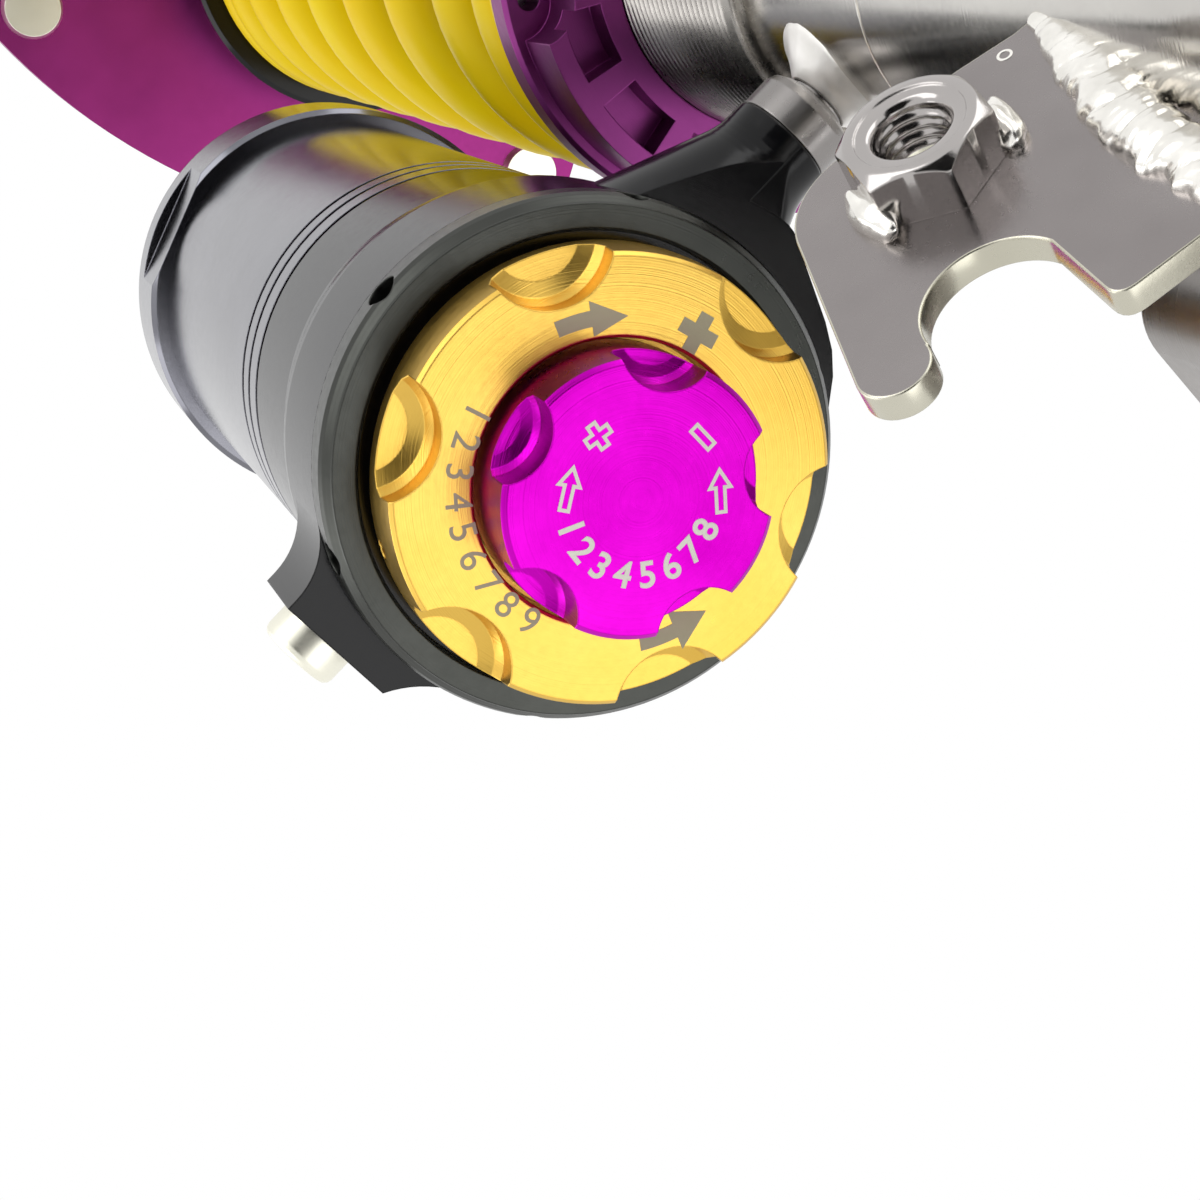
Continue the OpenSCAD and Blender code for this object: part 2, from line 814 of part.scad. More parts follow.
module reservoir_head() {
  color(black) difference() {
    head_solid();
    at_reservoir() {
      translate([0, 0, head_low - 5]) cylinder(h = valve_top - head_low + 5.5,
        r = valve_radius);
      translate([0, 0, head_low]) cylinder(h = 100, r = chamber_radius);
      ring(reservoir_bore_radius + 1, reservoir_bore_radius - oring_depth, spigot_groove,
        spigot_groove + oring_width);
      ring(reservoir_radius + 1, reservoir_tube_radius - seam_depth, head_joint - seam_width,
        head_joint);
    }
    along_gallery() cylinder(h = reservoir_x - valve_radius + 5, r = port_radius);
    along_gallery() translate([0, 0, neck_start - 1]) cylinder(h = 11, r = socket_radius);
    along_gallery() translate([0, 0, reservoir_x + valve_radius - 5])
      cylinder(h = 30, r = plug_screw_radius);
  }
}

module head_ring() {
  pin_radius = 2.2;
  color([0.3, 0.31, 0.28]) at_reservoir() difference() {
    turned([[ring_bore_radius, ring_face + 0.4], [ring_bore_radius + 0.4, ring_face],
      [reservoir_radius - 1.2, ring_face], [reservoir_radius - 1.1, ring_face + 0.3],
      [reservoir_radius - 0.3, ring_face + 1.4], [reservoir_radius, ring_face + 2.2],
      [reservoir_radius, head_low], [collar_radius, head_low],
      [collar_radius, head_low - collar_height],
      [ring_bore_radius, head_low - collar_height]]);
    for (k = [0:5]) rotate(26 + 60 * k)
      translate([collar_radius + 0.6, 0, ring_face + 3.4]) rotate([0, 90, 0])
        cylinder(h = 5, r = pin_radius, $fn = 24);
  }
}

module gallery_plug() {
  head_radius = 5.3;
  head_height = 4.5;
  rim = 1.2;
  color(steel) along_gallery() difference() {
    turned(concat([[0, reservoir_x + valve_radius + slide_gap],
      [plug_screw_radius, reservoir_x + valve_radius + slide_gap],
      [plug_screw_radius, ear_end], [head_radius, ear_end]],
      [for (a = [0:30:90]) [head_radius - rim + rim * cos(a),
        ear_end + head_height - rim + rim * sin(a)]],
      [[0, ear_end + head_height]]));
    translate([0, 0, ear_end + 1.3]) hexagon(5, 4);
  }
}

module valve_body() {
  gallery_depth = valve_radius - 4.5;
  color(steel) at_reservoir() difference() {
    ring(valve_radius, spindle_radius + slide_gap, head_low - collar_height, valve_top);
    ring(valve_radius + 1, gallery_depth, gallery_level - 4, gallery_level + 4);
    for (k = [0:5]) rotate(60 * k) {
      translate([15, 0, gallery_level - 1.5]) cylinder(h = 20, r = port_radius);
      translate([14, 0, gallery_level]) rotate([0, 90, 0])
        cylinder(h = gallery_depth - 12.5, r = 2.2);
    }
  }
}

module valve_shims() {
  bore = spindle_radius + slide_gap;
  color(steel) at_reservoir() {
    ring(19, bore, valve_top, valve_top + 1);
    ring(15, bore, valve_top + 1, valve_top + 2);
    ring(11.5, bore, valve_top + 2, valve_top + 8);
  }
}

module reservoir_tube() {
  color([0.16, 0.16, 0.18]) at_reservoir() difference() {
    ring(reservoir_tube_radius, reservoir_bore_radius, head_joint, cap_low);
    for (z = [head_joint + 4.3, head_joint + 9.2])
      ring(reservoir_radius, reservoir_tube_radius - seam_depth, z, z + seam_width);
  }
}

cap_plug = 12;
cap_groove = cap_low - 7.5;

module reservoir_orings() {
  color(black) at_reservoir() for (level = [spigot_groove, cap_groove])
    seal_ring(reservoir_bore_radius - oring_section, oring_section, level + oring_width / 2);
}

module reservoir_cap() {
  edge = 5;
  flat_reach = cap_radius * cos(18);
  color(black) at_reservoir() difference() {
    turned(concat([[gas_valve_radius, cap_low - cap_plug],
      [reservoir_bore_radius, cap_low - cap_plug], [reservoir_bore_radius, cap_low],
      [cap_radius - 0.8, cap_low], [cap_radius, cap_low + 0.8]],
      [for (a = [0:15:90]) [cap_radius - edge + edge * cos(a),
        reservoir_top - edge + edge * sin(a)]],
      [[gas_valve_radius, reservoir_top]]));
    ring(reservoir_bore_radius + 1, reservoir_bore_radius - oring_depth, cap_groove,
      cap_groove + oring_width);
    for (k = [0:1]) rotate(70 + 180 * k) translate([flat_reach, -20, cap_low - 1])
      cube([10, 40, 12]);
  }
}

module gas_valve() {
  z = reservoir_top;
  color([0.75, 0.62, 0.3]) at_reservoir() turned([[1, cap_low - cap_plug],
    [gas_valve_radius, cap_low - cap_plug], [gas_valve_radius, z], [5, z], [5, z + 2.5],
    [3.8, z + 3], [3.8, z + 9], [1, z + 9]]);
}

module gas_valve_cap() {
  z = reservoir_top;
  color(black) at_reservoir() turned([[0, z + 11], [4.5, z + 11], [5, z + 10.4], [5, z + 3],
    [3.8, z + 3], [3.8, z + 9.4], [0, z + 9.4]]);
}

// ---- spring and perch ----

module spring_slip_ring() {
  color(steel) ring(perch_flange_radius - 1.1, sleeve_radius + 0.6, perch_top + 0.02, spring_low);
}

// rise of the wire centre after a given number of turns from the lower end
spring_room = seat_face - spring_low - wire_diameter - 0.1;
closed_pitch = wire_diameter + 0.5;
ramp = 1.0;
close_turns = 1.0;
mid_turns = (spring_room - 2 * close_turns * closed_pitch
  - ramp * (coil_pitch + closed_pitch)) / coil_pitch;
all_turns = 2 * close_turns + 2 * ramp + mid_turns;
rings_per_turn = 24;
ring_count = ceil(all_turns * rings_per_turn);

// height gained in one end from its first turn to the given turn
function end_rise(t) = t < close_turns ? closed_pitch * t
  : closed_pitch * close_turns + closed_pitch * (t - close_turns)
    + (coil_pitch - closed_pitch) * pow(t - close_turns, 2) / (2 * ramp);
end_total = end_rise(close_turns + ramp);
function wire_rise(t) = t < close_turns + ramp ? end_rise(t)
  : t > all_turns - close_turns - ramp ? spring_room - end_rise(all_turns - t)
  : end_total + coil_pitch * (t - close_turns - ramp);

function turn_at(i) = all_turns * i / ring_count;
function wire_centre(i) = let (t = turn_at(i), a = spring_phase + 360 * t)
  [coil_radius * cos(a), coil_radius * sin(a), spring_low + 0.05 + wire_radius + wire_rise(t)];
function wire_point(i, j) = let (t = turn_at(i), a = spring_phase + 360 * t,
  b = 360 * (j + 0.5) / wire_sides, r = wire_radius)
  [(coil_radius + r * cos(b)) * cos(a), (coil_radius + r * cos(b)) * sin(a),
   spring_low + 0.05 + wire_radius + wire_rise(t) + r * sin(b)];

spring_points = concat([for (i = [0:ring_count]) for (j = [0:wire_sides - 1]) wire_point(i, j)],
  [wire_centre(0), wire_centre(ring_count)]);
spring_faces = concat(
  [for (i = [0:ring_count - 1]) for (j = [0:wire_sides - 1])
    let (a = i * wire_sides + j, b = i * wire_sides + (j + 1) % wire_sides)
    [a, b, b + wire_sides]],
  [for (i = [0:ring_count - 1]) for (j = [0:wire_sides - 1])
    let (a = i * wire_sides + j, b = i * wire_sides + (j + 1) % wire_sides)
    [a, b + wire_sides, a + wire_sides]],
  [for (j = [0:wire_sides - 1]) [j, len(spring_points) - 2, (j + 1) % wire_sides]],
  [for (j = [0:wire_sides - 1]) let (e = ring_count * wire_sides)
    [e + j, e + (j + 1) % wire_sides, len(spring_points) - 1]]);

// smallest free height between a turn and the turn above it
coil_gap = min([for (i = [0:ring_count - rings_per_turn - 1])
  wire_rise(turn_at(i) + 1) - wire_rise(turn_at(i))]) - wire_diameter;
echo(turns = all_turns, coil_gap = coil_gap, spring_triangles = len(spring_faces));

module main_spring() {
  color([0.98, 0.85, 0.02]) polyhedron(points = spring_points, faces = spring_faces,
    convexity = 12);
}

first_pocket = 21.5;
pocket_pitch = 360 / perch_pockets;
pocket_inner = sleeve_radius + 3.3;
pocket_outer = perch_plateau_radius - 3.1;
hole_circle = perch_plateau_radius - 2;
notch_count = floor(perch_pockets / 2);

// pocket with straight sides and round inner and outer walls
module pocket_plan() {
  spread = tan(pocket_pitch * 0.36);
  far = pocket_outer + 4;
  intersection() {
    difference() {
      circle(r = pocket_outer);
      circle(r = pocket_inner);
    }
    polygon([[0, 0], [far, -far * spread], [far, far * spread]]);
  }
}

// place children on the web beside every second pocket
module at_notches() {
  for (k = [0:notch_count - 1]) rotate(first_pocket + pocket_pitch * (2 * k + 0.5)) children();
}

module perch_back_plan() {
  difference() {
    circle(r = perch_plateau_radius);
    circle(r = perch_bore_radius);
    at_notches() translate([perch_plateau_radius + 0.6, 0]) circle(r = 6);
  }
}

module perch_front_plan() {
  difference() {
    perch_back_plan();
    for (k = [0:perch_pockets - 1]) rotate(first_pocket + pocket_pitch * k) pocket_plan();
  }
}

module perch_flange() {
  difference() {
    turned([[perch_bore_radius, flange_low], [perch_flange_radius - 0.7, flange_low],
      [perch_flange_radius, flange_low + 0.7], [perch_flange_radius, perch_top - 0.6],
      [perch_flange_radius - 0.6, perch_top], [sleeve_radius + 0.8, perch_top],
      [perch_bore_radius, perch_top - 0.8]]);
    at_notches() translate([hole_circle, 0, flange_low - 1]) cylinder(h = 20, r = 1.7);
  }
}

module spring_perch() {
  floor_level = perch_low + perch_pocket_depth;
  color(purple) {
    translate([0, 0, perch_low]) linear_extrude(perch_pocket_depth) perch_front_plan();
    translate([0, 0, floor_level]) linear_extrude(flange_low - floor_level)
      perch_back_plan();
    perch_flange();
  }
}

// ---- floating piston ----

module floating_piston() {
  edge = reservoir_bore_radius - 0.3;
  low = gas_piston_low;
  top = low + gas_piston_height;
  color(steel) at_reservoir() difference() {
    turned([[0, low + 2], [edge - 10.7, low + 2], [edge - 8.7, low], [edge, low], [edge, top],
      [edge - 5.7, top], [edge - 6.7, top - 8], [0, top - 8]]);
    ring(reservoir_bore_radius + 1, reservoir_bore_radius - 2.5, low + 5, low + 10);
  }
}

module floating_piston_seal() {
  color(black) at_reservoir() ring(reservoir_bore_radius - slide_gap,
    reservoir_bore_radius - 2.5, gas_piston_low + 5, gas_piston_low + 10);
}

// ---- adjusters ----

grub_angle = 28;
grub_radius = 1.25;
grub_level = knob_floor + 2;

module high_speed_knob() {
  bore = spindle_radius + slide_gap;
  scallop = 8;
  color(gold) at_reservoir() difference() {
    turned([[bore, knob_base], [high_knob_radius - 0.6, knob_base],
      [high_knob_radius, knob_base - 0.6], [high_knob_radius, knob_face + 6],
      [high_knob_radius - 0.4, knob_face + 0.5], [high_knob_radius - 0.9, knob_face],
      [knob_recess_radius + 0.4, knob_face], [knob_recess_radius, knob_face + 0.4],
      [knob_recess_radius, knob_floor], [bore, knob_floor]]);
    for (k = [0:high_knob_scallops - 1]) rotate(-1.6 + 360 / high_knob_scallops * k)
      translate([high_knob_radius + 2.2, 0, knob_face])
      turned([[0, -1], [scallop, -1], [scallop, 3.4], [scallop - 0.8, 4.8],
        [scallop - 2.6, 5.7], [0, 5.7]]);
    rotate(grub_angle) translate([bore - 1, 0, grub_level]) rotate([0, 90, 0])
      cylinder(h = high_knob_radius, r = grub_radius, $fn = 24);
  }
}

module high_speed_spindle() {
  bore = needle_stem_radius + slide_gap;
  low = valve_top + 6;
  color(steel) at_reservoir() turned([[bore, knob_floor], [spindle_radius, knob_floor],
    [spindle_radius, low], [spindle_radius - 2, low + 2], [bore, low + 2]]);
}

module high_speed_grub_screw() {
  color(dark_steel) at_reservoir() rotate(grub_angle)
    translate([spindle_radius + 0.3, 0, grub_level]) rotate([0, 90, 0]) difference() {
      cylinder(h = 5, r = grub_radius, $fn = 24);
      translate([0, 0, 3.5]) hexagon(1.3, 3);
    }
}

module low_speed_knob() {
  scallop = 6;
  hub_depth = low_knob_face + 7.4;
  color([0.7, 0.1, 0.6]) at_reservoir() difference() {
    turned([[0, low_knob_face], [low_knob_radius - 0.6, low_knob_face],
      [low_knob_radius, low_knob_face + 0.5], [low_knob_radius, low_knob_base - 0.6],
      [low_knob_radius - 0.6, low_knob_base], [port_radius, low_knob_base],
      [port_radius, hub_depth], [0, hub_depth]]);
    for (k = [0:low_knob_scallops - 1]) rotate(0.6 + 360 / low_knob_scallops * k)
      translate([low_knob_radius + 2.2, 0, low_knob_face])
      turned([[0, -1], [scallop, -1], [scallop, 4.8], [scallop - 0.6, 5.8],
        [scallop - 2, 6.3], [0, 6.3]]);
  }
}

module low_speed_needle() {
  hub_depth = low_knob_face + 7.4;
  low = knob_floor - 0.4;
  color(steel) at_reservoir() turned([[0, hub_depth], [port_radius, hub_depth],
    [port_radius, low], [needle_stem_radius, low], [needle_stem_radius, valve_top + 6],
    [2, valve_top + 11], [0, valve_top + 11]]);
}

// ---- output ----

top_plate();
tower_studs();
bearing_race();
bearing_circlip();
thrust_race_upper();
thrust_cage();
thrust_needles();
piston_rod();
bearing_ball();
ball_spacers();
rod_top_nut();
thrust_race_lower();
upper_spring_seat();
bump_cup();
bump_stop();
damper_piston();
piston_band();
piston_shims();
piston_nut();
rebound_knob();
rebound_rod();
strut_tube();
thread_sleeve();
rod_guide();
rod_seal();
gland_nut();
rod_wiper();
damper_orings();
base_plug();
foot_tube();
foot_cap();
knuckle_bracket();
knuckle_welds();
link_bracket();
weld_nut();
bracket_welds();
transfer_fitting();
transfer_weld();
fitting_oring();
reservoir_head();
head_ring();
gallery_plug();
valve_body();
valve_shims();
reservoir_tube();
reservoir_orings();
reservoir_cap();
gas_valve();
gas_valve_cap();
spring_slip_ring();
main_spring();
spring_perch();
floating_piston();
floating_piston_seal();
high_speed_knob();
high_speed_spindle();
high_speed_grub_screw();
low_speed_knob();
low_speed_needle();
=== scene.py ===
import json
import math

import bmesh
import bpy
from mathutils import Matrix, Vector, noise


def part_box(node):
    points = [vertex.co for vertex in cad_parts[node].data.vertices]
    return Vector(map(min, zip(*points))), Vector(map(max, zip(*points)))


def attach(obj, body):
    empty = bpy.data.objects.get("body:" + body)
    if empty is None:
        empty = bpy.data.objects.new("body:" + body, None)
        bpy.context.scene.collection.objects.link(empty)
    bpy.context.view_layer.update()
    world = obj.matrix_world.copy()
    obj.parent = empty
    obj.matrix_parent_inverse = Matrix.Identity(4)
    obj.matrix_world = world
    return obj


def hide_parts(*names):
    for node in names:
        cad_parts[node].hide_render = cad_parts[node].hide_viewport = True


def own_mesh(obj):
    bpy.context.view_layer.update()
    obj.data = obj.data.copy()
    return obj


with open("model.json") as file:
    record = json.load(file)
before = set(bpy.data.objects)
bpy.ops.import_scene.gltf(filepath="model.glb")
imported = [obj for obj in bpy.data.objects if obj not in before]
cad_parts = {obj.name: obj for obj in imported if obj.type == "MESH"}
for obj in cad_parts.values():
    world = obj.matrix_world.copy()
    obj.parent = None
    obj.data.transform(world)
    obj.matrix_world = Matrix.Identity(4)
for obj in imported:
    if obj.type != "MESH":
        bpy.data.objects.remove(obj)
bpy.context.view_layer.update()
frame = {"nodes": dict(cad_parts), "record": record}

MM = 0.001
RES_X, RES_Y = 79.35 * MM, -6 * MM   # axis of the reservoir and its two knobs
GOLD_FACE = -410 * MM
MAGENTA_FACE = -419.4 * MM
TUBE = 23 * MM              # radius of the damper tube
GALLERY = -386.5 * MM       # height of the gallery that joins it to the reservoir
GRAIN_DEPTH, LINE_DEPTH, SOFT_DEPTH = 0.06 * MM, 0.08 * MM, 0.1 * MM   # bump heights
FILL_LIGHT = 0.5            # strength of the world in diffuse light
LIGHT_AIM = (0.06, 0, -0.36)   # where lamps and cards point, near the middle of the part


# ---------------------------------------------------------------- camera

def make_camera():
    """The photo's camera, from circles of the dials, ring, perch and tube fitted to it."""
    data = bpy.data.cameras.new("camera")
    data.lens = 72
    data.sensor_width = 36
    data.clip_start, data.clip_end = 0.01, 20
    cam = bpy.data.objects.new("camera", data)
    right = Vector((-0.68392939, -0.66069031, -0.30940088))
    up = Vector((-0.72896892, 0.63578276, 0.25374122))
    back = Vector((0.02906738, 0.3990847, -0.91645321))
    turn = Matrix((right, up, back)).transposed()
    place = Matrix.Translation((0.09871482, 0.09889883, -0.67097968))
    cam.matrix_world = place @ turn.to_4x4()
    bpy.context.scene.collection.objects.link(cam)
    bpy.context.scene.camera = cam


# ---------------------------------------------------------------- node helpers

class Graph:
    """A material's node tree, with short calls for the nodes used here."""

    def __init__(self, name, **sockets):
        self.material = bpy.data.materials.new(name)
        self.material.use_nodes = True
        self.tree = self.material.node_tree
        self.tree.nodes.clear()
        self.shader = self.node("ShaderNodeBsdfPrincipled")
        out = self.node("ShaderNodeOutputMaterial")
        self.link(self.shader.outputs[0], out.inputs[0])
        for key, value in sockets.items():
            self.set(key.replace("_", " "), value)
        self.material.diffuse_color = self.shader.inputs["Base Color"].default_value

    def node(self, kind, **props):
        made = self.tree.nodes.new(kind)
        for key, value in props.items():
            setattr(made, key, value)
        return made

    def link(self, a, b):
        self.tree.links.new(a, b)

    def set(self, name, value):
        socket = self.shader.inputs[name]
        if hasattr(value, "is_output"):
            self.link(value, socket)
        elif isinstance(value, tuple) and len(value) == 3 and len(socket.default_value) == 4:
            socket.default_value = (*value, 1)
        else:
            socket.default_value = value

    def feed(self, socket, value):
        if hasattr(value, "is_output"):
            self.link(value, socket)
        else:
            socket.default_value = value

    def math(self, op, a, b=0.0, c=0.0):
        made = self.node("ShaderNodeMath", operation=op)
        for socket, value in zip(made.inputs, (a, b, c)):
            self.feed(socket, value)
        return made.outputs[0]

    def coords(self):
        return self.node("ShaderNodeTexCoord").outputs["Object"]

    def noise(self, vector, scale, detail=2.0, rough=0.5):
        made = self.node("ShaderNodeTexNoise")
        self.link(vector, made.inputs["Vector"])
        made.inputs["Scale"].default_value = scale
        made.inputs["Detail"].default_value = detail
        made.inputs["Roughness"].default_value = rough
        return made.outputs["Fac"]

    def noise_line(self, w, scale, detail=2.0):
        made = self.node("ShaderNodeTexNoise", noise_dimensions="1D")
        self.link(w, made.inputs["W"])
        made.inputs["Scale"].default_value = scale
        made.inputs["Detail"].default_value = detail
        return made.outputs["Fac"]

    def span(self, value, low, high, start=0.0, end=1.0):
        made = self.node("ShaderNodeMapRange")
        self.feed(made.inputs[0], value)
        for socket, number in zip(made.inputs[1:5], (start, end, low, high)):
            socket.default_value = number
        return made.outputs[0]

    def ramp(self, value, stops):
        made = self.node("ShaderNodeValToRGB")
        self.feed(made.inputs[0], value)
        row = made.color_ramp.elements
        while len(row) < len(stops):
            row.new(0.5)
        for element, (place, colour) in zip(row, stops):
            element.position = place
            element.color = (*colour, 1)
        return made.outputs[0]

    def bump(self, height, strength, distance, under=None):
        made = self.node("ShaderNodeBump")
        self.link(height, made.inputs["Height"])
        made.inputs["Strength"].default_value = strength
        made.inputs["Distance"].default_value = distance
        if under is not None:
            self.link(under, made.inputs["Normal"])
        return made.outputs[0]

    def rounded(self, size):
        """Normals that round every sharp edge off by a small radius, in mm."""
        made = self.node("ShaderNodeBevel", samples=6)
        made.inputs["Radius"].default_value = size * MM
        return made.outputs[0]

    def radius(self, x, y):
        """Distance of the point from an upright axis."""
        parts = self.node("ShaderNodeSeparateXYZ")
        self.link(self.coords(), parts.inputs[0])
        dx = self.math("SUBTRACT", parts.outputs[0], x)
        dy = self.math("SUBTRACT", parts.outputs[1], y)
        square = self.math("ADD", self.math("MULTIPLY", dx, dx), self.math("MULTIPLY", dy, dy))
        return self.math("SQRT", square)

    def height(self):
        parts = self.node("ShaderNodeSeparateXYZ")
        self.link(self.coords(), parts.inputs[0])
        return parts.outputs[2]


def metal(name, dark, light, rough=(0.25, 0.35), metallic=1.0, axis=None, lines=0.0,
          speckle=900, grain=0.0, patch=35, aniso=0.0, edge=0.3, shine=0.5):
    """A metal finish: colour drifts between two values, roughness drifts too, and the
    surface carries tool lines round an axis, a fine grain and eased edges."""
    g = Graph(name, Metallic=metallic)
    where = g.coords()
    drift = g.noise(where, patch, 3, 0.6)
    g.set("Base Color", g.ramp(drift, ((0.3, dark), (0.72, light))))
    fine = g.noise(where, speckle, 2, 0.6)
    both = g.math("MULTIPLY_ADD", fine, 0.5, g.math("MULTIPLY", drift, 0.5))
    g.set("Roughness", g.span(both, rough[0], rough[1], 0.3, 0.7))
    normal = g.rounded(edge) if edge else None
    if grain:
        normal = g.bump(g.noise(where, speckle * 2.2, 3, 0.7), grain, GRAIN_DEPTH, normal)
    if lines and axis:
        turned = g.noise_line(g.radius(*axis), 5200, 3)
        normal = g.bump(turned, lines, LINE_DEPTH, normal)
    elif lines:
        drawn = g.noise_line(g.height(), 2600, 3)
        normal = g.bump(drawn, lines, LINE_DEPTH, normal)
    if normal is not None:
        g.set("Normal", normal)
    g.set("Specular IOR Level", shine)
    if aniso:
        g.set("Anisotropic", aniso)
        tangent = g.node("ShaderNodeTangent", direction_type="RADIAL", axis="Z")
        g.set("Tangent", tangent.outputs[0])
    return g.material


def soft_stuff(name, dark, light, rough=(0.5, 0.65), speckle=1400, grain=0.25, patch=40,
               shine=0.5):
    """Rubber, foam, plastic or paint, with a fine grain and a slow drift of colour."""
    g = Graph(name, Metallic=0.0)
    where = g.coords()
    drift = g.noise(where, patch, 3, 0.6)
    g.set("Base Color", g.ramp(drift, ((0.3, dark), (0.72, light))))
    g.set("Roughness", g.span(g.noise(where, speckle, 2), rough[0], rough[1], 0.3, 0.7))
    g.set("Normal", g.bump(g.noise(where, speckle, 4, 0.7), grain, SOFT_DEPTH))
    g.set("Specular IOR Level", shine)
    return g.material


# ---------------------------------------------------------------- materials

RES_AXIS = (RES_X, RES_Y)
OWN_AXIS = (0.0, 0.0)

MATS = {
    "plate_purple": metal("plate_purple", (0.25, 0.026, 0.16), (0.34, 0.036, 0.215),
                          (0.34, 0.46), axis=OWN_AXIS, lines=0.15, grain=0.05),
    "perch_purple": metal("perch_purple", (0.20, 0.036, 0.165), (0.28, 0.05, 0.23),
                          (0.3, 0.42), axis=OWN_AXIS, lines=0.15, grain=0.05),
    "gold": metal("gold", (0.68, 0.42, 0.07), (0.80, 0.52, 0.11), (0.26, 0.36),
                  axis=RES_AXIS, lines=0.3, aniso=0.4, grain=0.015),
    "magenta": metal("magenta", (0.34, 0.0, 0.29), (0.60, 0.004, 0.52), (0.24, 0.34),
                     axis=RES_AXIS, lines=0.35, aniso=0.5, grain=0.015),
    "ring_grey": metal("ring_grey", (0.045, 0.047, 0.043), (0.068, 0.07, 0.064),
                       (0.26, 0.38), axis=RES_AXIS, lines=0.15, aniso=0.3),
    "gloss_black": metal("gloss_black", (0.002, 0.002, 0.0025), (0.004, 0.004, 0.005),
                         (0.12, 0.2), metallic=0.0, axis=RES_AXIS, lines=0.04,
                         shine=0.26),
    "gloss_anodised": metal("gloss_anodised", (0.15, 0.15, 0.17), (0.22, 0.22, 0.245),
                            (0.14, 0.2), lines=0.06),
    "polished": metal("polished", (0.58, 0.56, 0.53), (0.70, 0.68, 0.64), (0.12, 0.22),
                      lines=0.12),
    "bright": metal("bright", (0.52, 0.52, 0.50), (0.64, 0.63, 0.61), (0.2, 0.3),
                    lines=0.1, grain=0.08),
    "dark": metal("dark", (0.10, 0.10, 0.105), (0.16, 0.16, 0.16), (0.3, 0.42), lines=0.1),
    "nickel_plate": metal("nickel_plate", (0.26, 0.238, 0.235), (0.345, 0.32, 0.315),
                          (0.2, 0.32), speckle=1600, grain=0.12),
    # a lighter cream copy of nickel_plate for the link plate's side walls: a painted highlight on
    # its edges
    "plate_edge_painted_highlight": metal("plate_edge_painted_highlight", (0.50, 0.48, 0.39), (0.66, 0.64, 0.54), (0.2, 0.34),
                        grain=0.1),
    "fitting_steel": metal("fitting_steel", (0.25, 0.235, 0.23), (0.31, 0.295, 0.285),
                           (0.24, 0.32)),
    "stud_steel": metal("stud_steel", (0.80, 0.79, 0.67), (0.92, 0.90, 0.78), (0.3, 0.42)),
    "bracket_steel": metal("bracket_steel", (0.26, 0.245, 0.235), (0.38, 0.36, 0.345),
                           (0.26, 0.36), lines=0.3, grain=0.2),
    "weld": metal("weld", (0.80, 0.78, 0.73), (1.0, 0.98, 0.93), (0.14, 0.3), patch=220,
                  grain=0.12, edge=0),
    "weld_flare": metal("weld_flare", (0.88, 0.86, 0.82), (1.0, 0.98, 0.95), (0.4, 0.54),
                        patch=220, edge=0),
    "nut": metal("nut", (0.42, 0.40, 0.39), (0.55, 0.52, 0.50), (0.1, 0.2), grain=0.1,
                 speckle=1500),
    "thread": metal("thread", (0.36, 0.34, 0.32), (0.48, 0.46, 0.43), (0.22, 0.34), edge=0),
    "mark_grey": soft_stuff("mark_grey", (0.42, 0.40, 0.25), (0.50, 0.47, 0.30), (0.5, 0.65)),
    "mark_cream": soft_stuff("mark_cream", (0.90, 0.88, 0.76), (0.97, 0.95, 0.86), (0.4, 0.5)),
    "spring_paint": soft_stuff("spring_paint", (1.0, 0.68, 0.0), (1.0, 0.76, 0.0),
                               (0.36, 0.44), speckle=700, grain=0.02, shine=0.28),
    "rubber": soft_stuff("rubber", (0.012, 0.012, 0.012), (0.022, 0.022, 0.022)),
    "foam": soft_stuff("foam", (0.55, 0.48, 0.12), (0.66, 0.58, 0.18), (0.7, 0.85),
                       speckle=900, grain=0.6),
    "bronze": metal("bronze", (0.50, 0.30, 0.11), (0.60, 0.38, 0.16), (0.3, 0.4), lines=0.1),
    "plastic": soft_stuff("plastic", (0.02, 0.02, 0.022), (0.03, 0.03, 0.033), (0.35, 0.5)),
}

SLOT_LOOKS = {
    "purple_anodised": "plate_purple", "polished_steel": "polished",
    "bright_steel": "bright", "dark_steel": "dark", "black_anodised": "gloss_black",
    "grey_anodised": "ring_grey", "reservoir_anodised": "gloss_anodised",
    "gold_anodised": "gold", "magenta_anodised": "magenta",
    "spring_paint": "spring_paint", "plate_steel": "nickel_plate", "weld_metal": "weld",
    "seal_rubber": "rubber", "bump_foam": "foam", "bronze": "bronze",
    "black_plastic": "plastic",
}

NODE_LOOKS = {"spring_perch": "perch_purple", "transfer_fitting": "fitting_steel",
              "tower_studs": "stud_steel", "knuckle_bracket": "bracket_steel",
              "gallery_plug": "stud_steel"}


def dress_nodes():
    """Gives every CAD node the finish of its material slot, or its own in NODE_LOOKS."""
    looks = {}
    for part in frame["record"]["subparts"]:
        looks[part["node"]] = SLOT_LOOKS[part["material_slot"]]
    looks.update(NODE_LOOKS)
    for name, obj in frame["nodes"].items():
        material = MATS[looks.get(name, "bright")]
        if not obj.data.materials:
            obj.data.materials.append(material)
        for slot in obj.material_slots:
            slot.material = material


# ---------------------------------------------------------------- stage and light

